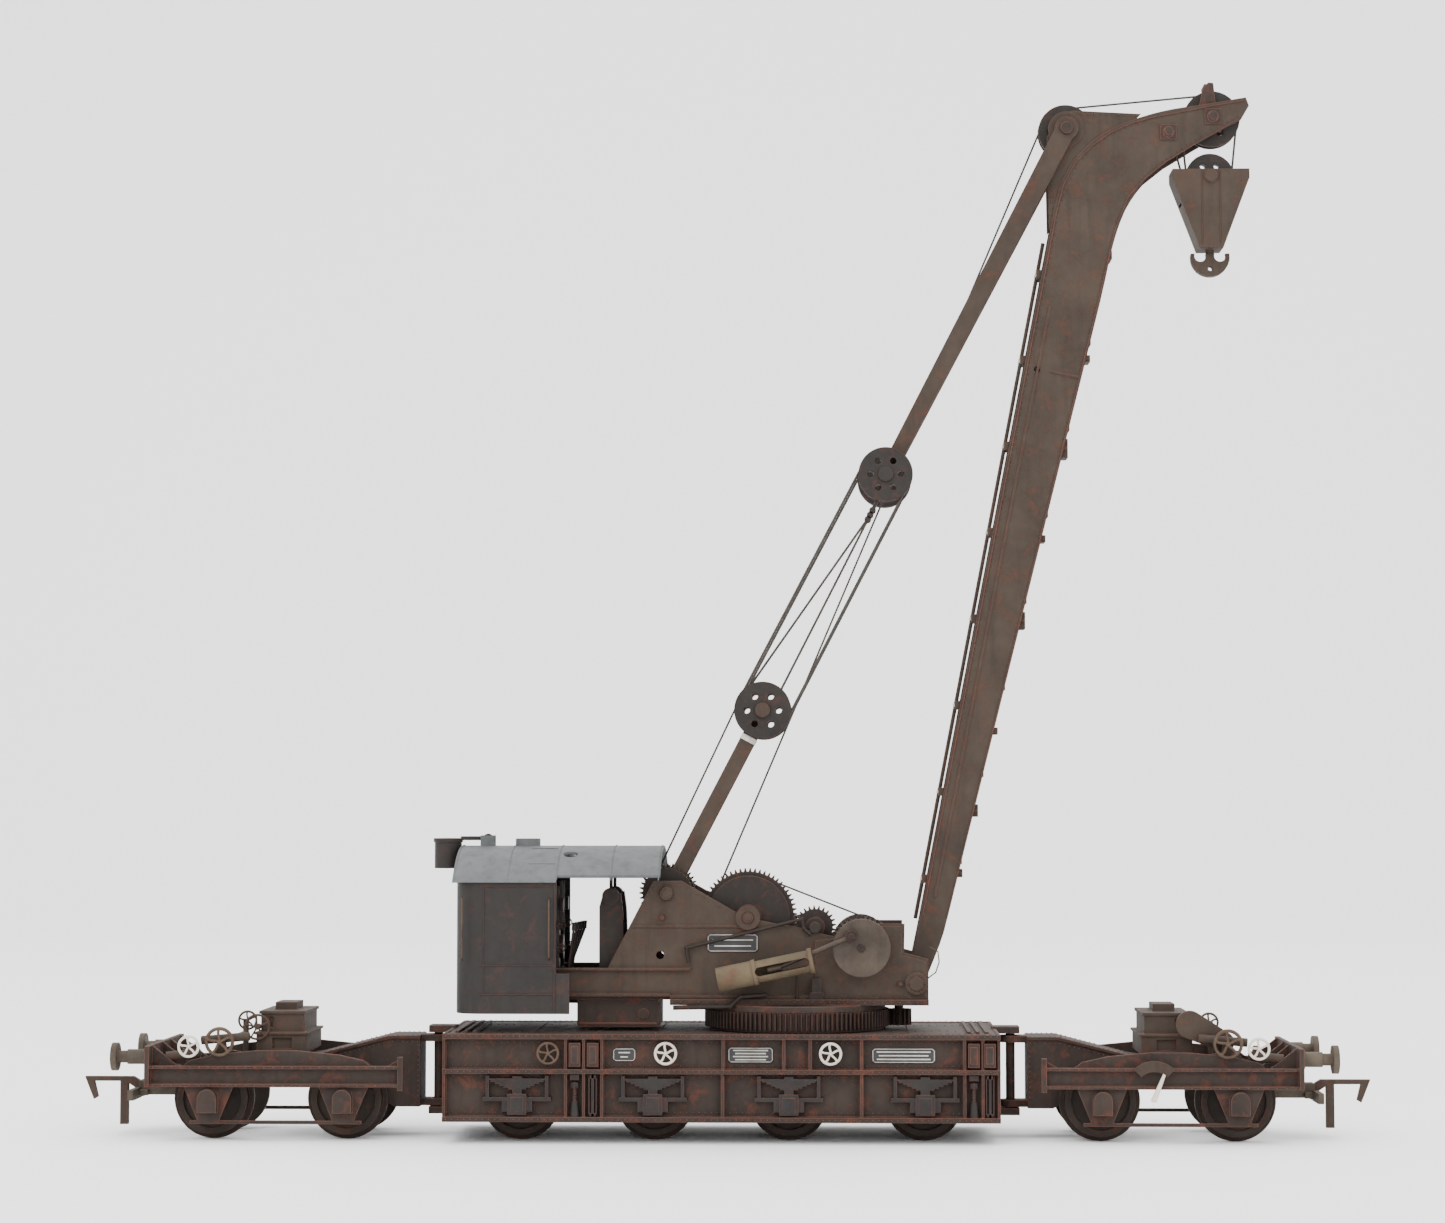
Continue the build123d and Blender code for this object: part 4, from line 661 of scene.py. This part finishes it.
# ---- handwheels and jacks
class CRANE_OT_carriage_fittings(bpy.types.Operator):
    """Handwheels, screw jacks, packing columns and notice plates on the carriage"""
    bl_idname = "crane.carriage_fittings"
    bl_label = "Carriage fittings"

    def execute(self, context):
        low, high = low_high("jacks_and_handwheels")
        wheel_z = high.z - 2.0
        jack_top, pitch = 11.9, 0.25
        brown, white, jacks = bmesh.new(), bmesh.new(), bmesh.new()
        for side in (-1, 1):
            wheel_y, jack_y = side * 16.7, side * 16.2
            for x, paint in ((-29.65, brown), (-9.45, white), (18.8, white)):
                handwheel(paint, (x, wheel_y, wheel_z), 2.0, side)
                cylinder(jacks, (x, side * PANEL_FACE, wheel_z), (x, wheel_y, wheel_z), 0.3)
            # screw jacks: foot, thread, nut and head
            for x in (-25.05, 43.25):
                cylinder(jacks, (x, jack_y, low.z), (x, jack_y, low.z + 2.6), 0.85, 0.6)
                for thread in range(14):
                    z = low.z + 2.4 + pitch * thread
                    cylinder(jacks, (x, jack_y, z), (x, jack_y, z + pitch), 0.45 if thread % 2 else 0.36)
                cylinder(jacks, (x, jack_y, 9.6), (x, jack_y, 10.5), 0.75, segments=6)
                box(jacks, (x - 0.8, jack_y - 0.4, 10.9), (x + 0.8, jack_y + 0.4, jack_top))
            # packing columns: foot, cap, web and two ribs
            for x in (-21.95, 46.0):
                outer, inner, rib_y = side * 16.6, side * 15.6, side * 16.35
                box(jacks, (x - 0.8, outer, low.z), (x + 0.8, inner, low.z + 0.6))
                box(jacks, (x - 0.8, outer, 11.2), (x + 0.8, inner, jack_top))
                box(jacks, (x - 0.25, outer, low.z), (x + 0.25, inner, jack_top))
                for edge in (-0.75, 0.5):
                    box(jacks, (x + edge, rib_y - 0.25, low.z), (x + edge + 0.25, rib_y + 0.25, jack_top))
        piece = finish_piece("prop_jacks", jacks, "axlebox", "carriage", bevel=0.05)
        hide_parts("jacks_and_handwheels")
        finish_piece("brown_handwheels", brown, "bronze", "carriage")
        finish_piece("white_handwheels", white, "white", "carriage")
        notices, marks = bmesh.new(), bmesh.new()
        for side in (-1, 1):
            for x_from, x_to, z_from, z_to, lines in ((-18.5, -14.7, 14.1, 16.3, 2),
                                                      (1.2, 9.0, 13.9, 16.5, 4),
                                                      (25.8, 36.8, 13.9, 16.4, 3)):
                notice(notices, marks, side, PANEL_FACE, (x_from, x_to), (z_from, z_to), lines)
        finish_piece("notice_plates", notices, "plate", "carriage", bevel=0.03)
        finish_piece("notice_borders", marks, "letter", "carriage")
        return {"FINISHED"}


def notice(plates, marks, side, face, xs, zs, lines):
    """Enamelled notice plate with a clipped-corner border and blank bars where words would be."""
    (x0, x1), (z0, z1) = xs, zs
    clip = 0.35
    outline = [(x0 + clip, z0), (x1 - clip, z0), (x1, z0 + clip), (x1, z1 - clip), (x1 - clip, z1),
               (x0 + clip, z1),
               (x0, z1 - clip), (x0, z0 + clip)]
    prism(plates, outline, side * face, side * (face + 0.16))
    proud = side * (face + 0.18)
    centre_x, centre_z = (x0 + x1) / 2, (z0 + z1) / 2
    ring = [(centre_x + (x - centre_x) * 0.955, proud, centre_z + (z - centre_z) * 0.9) for x, z in outline]
    sweep(marks, ring, 0.075, sides=4, closed=True)
    for line in range(lines):
        z = z1 - (line + 1) * (z1 - z0) / (lines + 1)
        inset = 0.9 + 0.35 * (line % 2)
        box(marks, (x0 + inset, proud, z - 0.11), (x1 - inset, proud + side * 0.05, z + 0.11))


class CRANE_OT_bogie_fittings(bpy.types.Operator):
    """Handwheels, shafts, chain guard, quadrant and lever on the relieving bogies"""
    bl_idname = "crane.bogie_fittings"
    bl_label = "Bogie fittings"

    def execute(self, context):
        for side, sign in ENDS:
            iron, brown, white = bmesh.new(), bmesh.new(), bmesh.new()
            main_x, brake_x, stub = sign * 86.8, sign * 91.9, -10.6
            handwheel(brown, (main_x, -13.95, 17.1), 2.6, -1)
            handwheel(white, (brake_x, -15.25, 16.4), 1.95, -1)
            handwheel(brown, (main_x, 13.1, 19.0), 1.8, 1)
            cylinder(iron, (main_x, 11.2, 19.0), (main_x, 13.2, 19.0), 0.35)
            box(iron, (main_x - 0.5, 11.2, 12.9), (main_x + 0.5, 11.9, 19.3))
            # shaft brackets on the solebar, stub shafts, and worm housings between load box and headstock
            for x, top, base in ((main_x, 17.4, 1.4), (brake_x, 16.7, 1.2)):
                crown = 0.6 if x == main_x else 0.5
                prism(iron, [(x - base, 12.5), (x + base, 12.5), (x + crown, top), (x - crown, top)], -11.0,
                      -11.8)
            cylinder(iron, (main_x, stub, 17.0), (main_x, -14.2, 17.0), 0.4)
            cylinder(iron, (brake_x, stub, 16.3), (brake_x, -15.3, 16.3), 0.38)
            cylinder(iron, (sign * 82.0, -11.4, 17.9), (sign * 90.4, -11.4, 17.2), 0.75)
            cylinder(iron, (sign * 90.6, -11.4, 14.9), (sign * 96.5, -11.4, 14.3), 0.9)
            cylinder(iron, (main_x, -10.8, 17.0), (main_x, 10.8, 17.0), 0.35)
            if side == "right":
                guard = arc_over((80.8, 20.1), 2.45, 55, 235)
                guard += arc_over((86.6, 17.2), 1.75, 235, 415)
                prism(iron, [(x, z) for x, _, z in guard], -9.2, -10.4)
                pivot = (74.1, 9.3)
                quadrant = arc_over(pivot, 5.0, 45, 135, steps=10)
                quadrant += arc_over(pivot, 3.1, 135, 45, steps=10)
                prism(iron, [(x, z) for x, _, z in quadrant], -14.65, -14.95)
                lever = [(75.6, 12.2), (76.0, 11.9), (74.4, 7.3), (73.6, 7.3), (73.5, 7.7)]
                prism(white, lever, -15.0, -15.3)
            else:
                x, y, z, radius = -81.2, -8.6, 19.3, 2.1
                sweep(iron, circle_points((x, y, z), radius, 32), 0.22, sides=8, closed=True)
                cylinder(iron, (x, -8.8, z), (x, -6.8, z), 0.5)
                for spoke in range(5):
                    angle = 0.4 + spoke * 2 * math.pi / 5
                    rim = (x + radius * math.cos(angle), y, z + radius * math.sin(angle))
                    cylinder(iron, (x, y, z), rim, 0.16, segments=8)
            piece = finish_piece(f"bogie_gear_{side}", iron, "jib", f"bogie_{side}",
                                 bevel=0.05)
            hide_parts(f"bogie_handwheels_{side}")
            finish_piece(f"bogie_brown_wheels_{side}", brown, "bronze", f"bogie_{side}")
            finish_piece(f"bogie_white_wheels_{side}", white, "white", f"bogie_{side}")
        return {"FINISHED"}


# ---- superstructure and jib fittings
def on_roof(x, degrees):
    """Point just above the arched roof, at an angle from its crown."""
    radius, crown, clear = 22.98, 50.8, 0.02
    angle = math.radians(90 + degrees)
    return x, (radius + clear) * math.cos(angle), crown - radius + (radius + clear) * math.sin(angle)


class CRANE_OT_cab_fittings(bpy.types.Operator):
    """Beading, door edges, roof seams, handrails, nameplate and backhead fittings"""
    bl_idname = "crane.cab_fittings"
    bl_label = "Cab fittings"

    def execute(self, context):
        low, high = low_high("cab_body")
        beading = bmesh.new()
        for face in (-1, 1):
            y = face * (high.y + 0.06)
            for z, thick in ((25.4, 0.12), (30.4, 0.1), (43.9, 0.12)):
                cylinder(beading, (low.x + 4.4, y, z), (-28.6, y, z), thick, segments=8)
            cylinder(beading, (-28.7, y, low.z + 0.2), (-28.7, y, high.z - 0.2), 0.16, segments=8)
            cylinder(beading, (-40.9, y, 25.4), (-40.9, y, 43.9), 0.08, segments=8)
        finish_piece("cab_beading", beading, "cab", "superstructure")
        rails = bmesh.new()
        for face in (-1, 1):
            y = face * (high.y + 0.75)
            for x in (-29.6, -44.6):
                sweep(rails,
                      [(x, face * high.y, 31.4), (x, y, 31.7), (x, y, 41.6), (x, face * high.y, 41.9)], 0.16,
                      sides=8)
        finish_piece("cab_handrails", rails, "bronze", "superstructure")
        roof_low, roof_high = low_high("cab_roof")
        seams = bmesh.new()
        for x in (roof_low.x + 0.3, -36.8, -28.4, -19.0, roof_high.x - 0.3):
            sweep(seams, [on_roof(x, 41.5 * (k - 12) / 12) for k in range(25)], 0.13, sides=6)
        # hatch frame on each shoulder
        for face in (-1, 1):
            corners = [on_roof(x, face * degrees)
                       for x, degrees in ((-33.5, 12), (-28.9, 12), (-28.9, 30), (-33.5, 30))]
            sweep(seams, corners, 0.11, sides=6, closed=True)
        finish_piece("roof_seams", seams, "roof", "superstructure")
        plates, marks = bmesh.new(), bmesh.new()
        for face in (-1, 1):
            notice(plates, marks, face, CHEEK_FACE, (-2.6, 6.3), (32.5, 35.6), 2)
        finish_piece("name_plates", plates, "plate", "superstructure", bevel=0.03)
        finish_piece("name_plate_borders", marks, "letter", "superstructure")
        # bolt heads at the bearings and on the cheeks
        bolts = bmesh.new()
        for face in (-1, 1):
            for x, z, radius in ((DRUM.x, DRUM.z, 1.1), (PEAK.x, PEAK.z, 1.3), (-10.4, 38.4, 0.5),
                                 (30.9, 27.0, 0.5)):
                cylinder(bolts, (x, face * CHEEK_FACE, z), (x, face * 10.2, z), radius, radius * 0.85, 18)
                cylinder(bolts, (x, face * 10.1, z), (x, face * 10.5, z), radius * 0.55, segments=6)
            for k in range(6):
                angle = k * math.pi / 3
                x, z = FOOT.x + 1.45 * math.cos(angle), FOOT.z + 1.45 * math.sin(angle)
                cylinder(bolts, (x, face * 10.0, z), (x, face * 10.35, z), 0.18, segments=6)
        finish_piece("cheek_bolts", bolts, "jib", "superstructure")
        # crank boss, pin nut and rod end
        crank = bmesh.new()
        pin_x, pin_z = CRANK.x - 1.75, CRANK.z + 2.05
        for face in (-1, 1):
            cylinder(crank, (CRANK.x, face * 13.15, CRANK.z), (CRANK.x, face * 13.6, CRANK.z), 0.75, 0.65)
            cylinder(crank, (pin_x, face * 13.15, pin_z), (pin_x, face * 14.75, pin_z), 1.15, segments=8)
            cylinder(crank, (pin_x, face * 14.7, pin_z), (pin_x, face * 15.1, pin_z), 0.55, segments=6)
        finish_piece("crank_pins", crank, "iron", "superstructure", bevel=0.05)
        wire = bmesh.new()
        sweep(wire, [(7.17, -2.0, 45.2), (26.3, -2.0, 37.7)], 0.18, sides=9, lobes=3, lay=1.3)
        sweep(wire, [(36.2, -5.0, 33.2), (37.6, -5.2, 32.4), (37.8, -5.3, 30.6), (37.2, -5.2, 28.8),
                     (35.6, -5.0, 27.6)],
              0.12, sides=6)
        finish_piece("front_drum_rope", wire, "rope", "superstructure")
        # gauges, levers and valves in front of the boiler
        levers = bmesh.new()
        for k in range(5):
            y = -5.0 + 2.5 * k
            sweep(levers, [(-27.6, y, 25.3), (-26.9, y, 31.0), (-26.2 + 0.3 * k, y, 36.0)], 0.22, sides=8)
            cylinder(levers, (-26.2 + 0.3 * k, y, 36.0), (-26.1 + 0.3 * k, y, 37.4), 0.36)
        for y in (-5.6, 5.6):
            cylinder(levers, (-28.4, y, 40.5), (-27.9, y, 40.5), 1.2)
            cylinder(levers, (-29.0, y, 25.5), (-29.0, y, 43.8), 0.35)
            for z in (29.0, 33.0, 37.0):
                cylinder(levers, (-29.0, y - 1.4, z), (-29.0, y + 1.4, z), 0.3)
                handwheel(levers, (-28.2, y * 1.3, z), 0.8, 1)
        finish_piece("backhead_fittings", levers, "cab", "superstructure")
        return {"FINISHED"}


class CRANE_OT_jib_fittings(bpy.types.Operator):
    """Edge angles, rope clips and tie-bar details on the jib and tackle"""
    bl_idname = "crane.jib_fittings"
    bl_label = "Jib fittings"

    def execute(self, context):
        strips = bmesh.new()
        rear = [(35.0, 38.6), (59.2, 163.0), (60.5, 168.0), (62.6, 171.9), (65.8, 175.1), (69.2, 177.4),
                (72.6, 178.9), (76.6, 180.0), (83.2, 181.2), (92.4, 182.9)]
        front = [(39.2, 38.0), (66.4, 146.6), (69.6, 160.0), (71.9, 165.7), (74.9, 169.0), (78.7, 172.0),
                 (83.8, 175.1), (91.6, 179.6)]
        for face in (-1, 1):
            for line in (rear, front):
                sweep(strips, [(x, face * 3.34, z) for x, z in line], 0.17, sides=4)
        finish_piece("jib_edge_angles", strips, "frame", "jib")
        clips = bmesh.new()
        for k in range(8):
            z = 45.0 + 15.3 * k
            x = 34.4 + (z - 37.6) * 0.1937
            box(clips, (x - 1.15, -0.9, z - 0.25), (x - 0.75, 0.9, z + 0.25))
        finish_piece("lacing_clips", clips, "letter", "jib", bevel=0.04)
        brackets = bmesh.new()
        for z, tall in ((46.0, 1.4), (57.0, 2.2), (71.0, 1.2), (90.5, 3.0), (105.0, 1.2), (121.0, 3.4),
                        (137.0, 1.2)):
            x = 38.8 + (z - 36.0) * 0.2527
            box(brackets, (x - 0.3, -2.2, z - tall / 2), (x + 0.75, 2.2, z + tall / 2))
            box(brackets, (x - 0.3, -2.9, z - 0.25), (x + 0.55, 2.9, z + 0.25))
        finish_piece("jib_brackets", brackets, "jib", "jib", bevel=0.05)
        bolts = bmesh.new()
        for face in (-1, 1):
            for x, z in ((HEAD.x, HEAD.z), (79.1, 177.25)):
                box(bolts, (x - 1.5, face * JIB_FACE, z - 1.4), (x + 1.5, face * (JIB_FACE + 0.25), z + 1.4))
                cylinder(bolts, (x, face * JIB_FACE, z), (x, face * (JIB_FACE + 1.0), z), 0.95, 0.85, 18)
            cylinder(bolts, (GUIDE.x, face * 4.43, GUIDE.z), (GUIDE.x, face * 5.0, GUIDE.z), 1.2, 1.1, 20)
        finish_piece("jib_bolts", bolts, "frame", "jib", bevel=0.06)
        keeper = bmesh.new()
        for face in (-1, 1):
            prism(keeper, [(84.6, 182.0), (85.4, 185.2), (86.3, 186.3), (87.2, 186.2), (87.6, 182.6)],
                  face * 2.1,
                  face * 2.6)
        box(keeper, (85.6, -2.2, 185.6), (87.0, 2.2, 186.1))
        finish_piece("rope_keeper", keeper, "frame", "jib", bevel=0.05)
        lower, upper = centre_of("lower_sheaves"), centre_of("upper_sheaves")
        run = (upper - lower).normalized()
        across = Vector((-run.z, 0, run.x))
        clips = bmesh.new()
        for face in (-1, 1):
            point = lower - 5.6 * run
            cylinder(clips, point + face * Vector((0, 3.5, 0)), point + face * Vector((0, 4.6, 0)), 0.5)
            corners = [point + along * run + out * across
                       for along, out in ((-0.5, -1.35), (0.5, -1.35), (0.5, 1.35), (-0.5, 1.35))]
            prism(clips, [(p.x, p.z) for p in corners], face * 3.6, face * 4.5)
        finish_piece("link_clips", clips, "letter", "link_bars", bevel=0.04)
        # shackle that hangs the becket ropes below the upper block
        shackle = bmesh.new()
        foot = upper - 7.6 * run - 0.9 * across
        y = -5.6
        bend = (upper.x - 3.0 * run.x, y, upper.z - 5.0 * run.z)
        sweep(shackle, [(upper.x, y, upper.z), bend, (foot.x, y, foot.z)], 0.35, sides=8)
        for k in range(3):
            point = foot + (0.9 - 0.9 * k) * run
            cylinder(shackle, (point.x, y - 0.8, point.z), (point.x, y + 0.8, point.z), 0.6)
        finish_piece("becket_shackle", shackle, "sheave", "upper_axle")
        block = centre_of("block_sheave")
        details = bmesh.new()
        for face in (-1, 1):
            for x in (block.x - 1.6, block.x + 1.6):
                box(details, (x - 0.08, face * BLOCK_FACE, 157.4),
                    (x + 0.08, face * (BLOCK_FACE + 0.1), 170.4))
            cylinder(details, (block.x, face * BLOCK_FACE, block.z), (block.x, face * 3.7, block.z), 1.15,
                     1.0, 20)
        finish_piece("hook_block_details", details, "jib", "hook_block")
        return {"FINISHED"}


# ---- stage
class CRANE_OT_stage(bpy.types.Operator):
    """Pale floor with a curved back, soft lights and the camera"""
    bl_idname = "crane.stage"
    bl_label = "Stage"

    def execute(self, context):
        scene = context.scene
        bm = bmesh.new()
        floor_end, bend, wall_top = 0.9, 0.6, 2.6
        profile = [(-1.6, 0.0), (floor_end, 0.0)]
        for k in range(1, 13):
            angle = math.radians(7.5 * k)
            profile.append((floor_end + bend * math.sin(angle), bend - bend * math.cos(angle)))
        profile.append((floor_end + bend, wall_top))
        columns = [[bm.verts.new((x, y, z)) for y, z in profile] for x in (-3.0, 3.0)]
        for k in range(len(profile) - 1):
            bm.faces.new((columns[0][k], columns[1][k], columns[1][k + 1], columns[0][k + 1]))
        mesh = bpy.data.meshes.new("backdrop")
        bm.to_mesh(mesh)
        bm.free()
        mesh.shade_smooth()
        paper = bpy.data.materials.new("Matt white paper")
        paper.use_nodes = True
        shader = paper.node_tree.nodes["Principled BSDF"]
        shader.inputs["Base Color"].default_value = (0.9, 0.9, 0.9, 1)
        shader.inputs["Roughness"].default_value = 0.9
        mesh.materials.append(paper)
        backdrop = new_object("backdrop", mesh)
        world = bpy.data.worlds.new("Soft room")
        scene.world = world
        world.use_nodes = True
        sky = world.node_tree.nodes["Background"]
        sky.inputs["Color"].default_value = (1.0, 1.0, 1.0, 1)
        sky.inputs["Strength"].default_value = 2.2
        for name, place, size, power in (("key", (-0.5, -0.9, 0.9), 0.8, 9.0),
                                         ("fill", (0.8, -0.9, 0.5), 0.8, 5.0),
                                         ("top", (0.1, 0.2, 1.2), 1.2, 10.0)):
            lamp = bpy.data.lights.new(name, "AREA")
            lamp.size = size
            lamp.energy = power
            holder = new_object(name, lamp)
            holder.location = place
            aim = Vector((0.0, 0.0, 0.08)) - Vector(place)
            holder.rotation_euler = aim.to_track_quat("-Z", "Y").to_euler()
        lens = bpy.data.cameras.new("camera")
        lens.lens = 79.4
        lens.sensor_width = 36
        camera = new_object("camera", lens)
        camera.location = (0.0178, -0.56535, 0.0585)
        view = Vector((-0.1015, 3.185, 0.1905))
        camera.rotation_euler = view.to_track_quat("-Z", "Y").to_euler()
        scene.camera = camera
        return {"FINISHED"}


class CRANE_PT_panel(bpy.types.Panel):
    """Buttons for each group of pieces"""
    bl_idname = "CRANE_PT_panel"
    bl_label = "Breakdown crane"
    bl_space_type = "VIEW_3D"
    bl_region_type = "UI"
    bl_category = "Crane"

    def draw(self, context):
        for operator in OPERATORS:
            self.layout.operator(operator.bl_idname)


OPERATORS = (CRANE_OT_finish_cad, CRANE_OT_rivets, CRANE_OT_ropes, CRANE_OT_carriage_fittings,
             CRANE_OT_bogie_fittings, CRANE_OT_cab_fittings, CRANE_OT_jib_fittings, CRANE_OT_stage)
CLASSES = (CraneColours, CraneSizes) + OPERATORS + (CRANE_PT_panel,)


def register():
    """Registers the classes and the scene's settings."""
    for part in CLASSES:
        bpy.utils.register_class(part)
    bpy.types.Scene.crane_colours = PointerProperty(type=CraneColours)
    bpy.types.Scene.crane_sizes = PointerProperty(type=CraneSizes)


def unregister():
    """Takes the settings and classes out again."""
    del bpy.types.Scene.crane_colours
    del bpy.types.Scene.crane_sizes
    for part in reversed(CLASSES):
        bpy.utils.unregister_class(part)


def main():
    """Makes every group of pieces in order."""
    register()
    for operator in OPERATORS:
        family, name = operator.bl_idname.split(".")
        getattr(getattr(bpy.ops, family), name)()


if __name__ == "__main__":
    main()
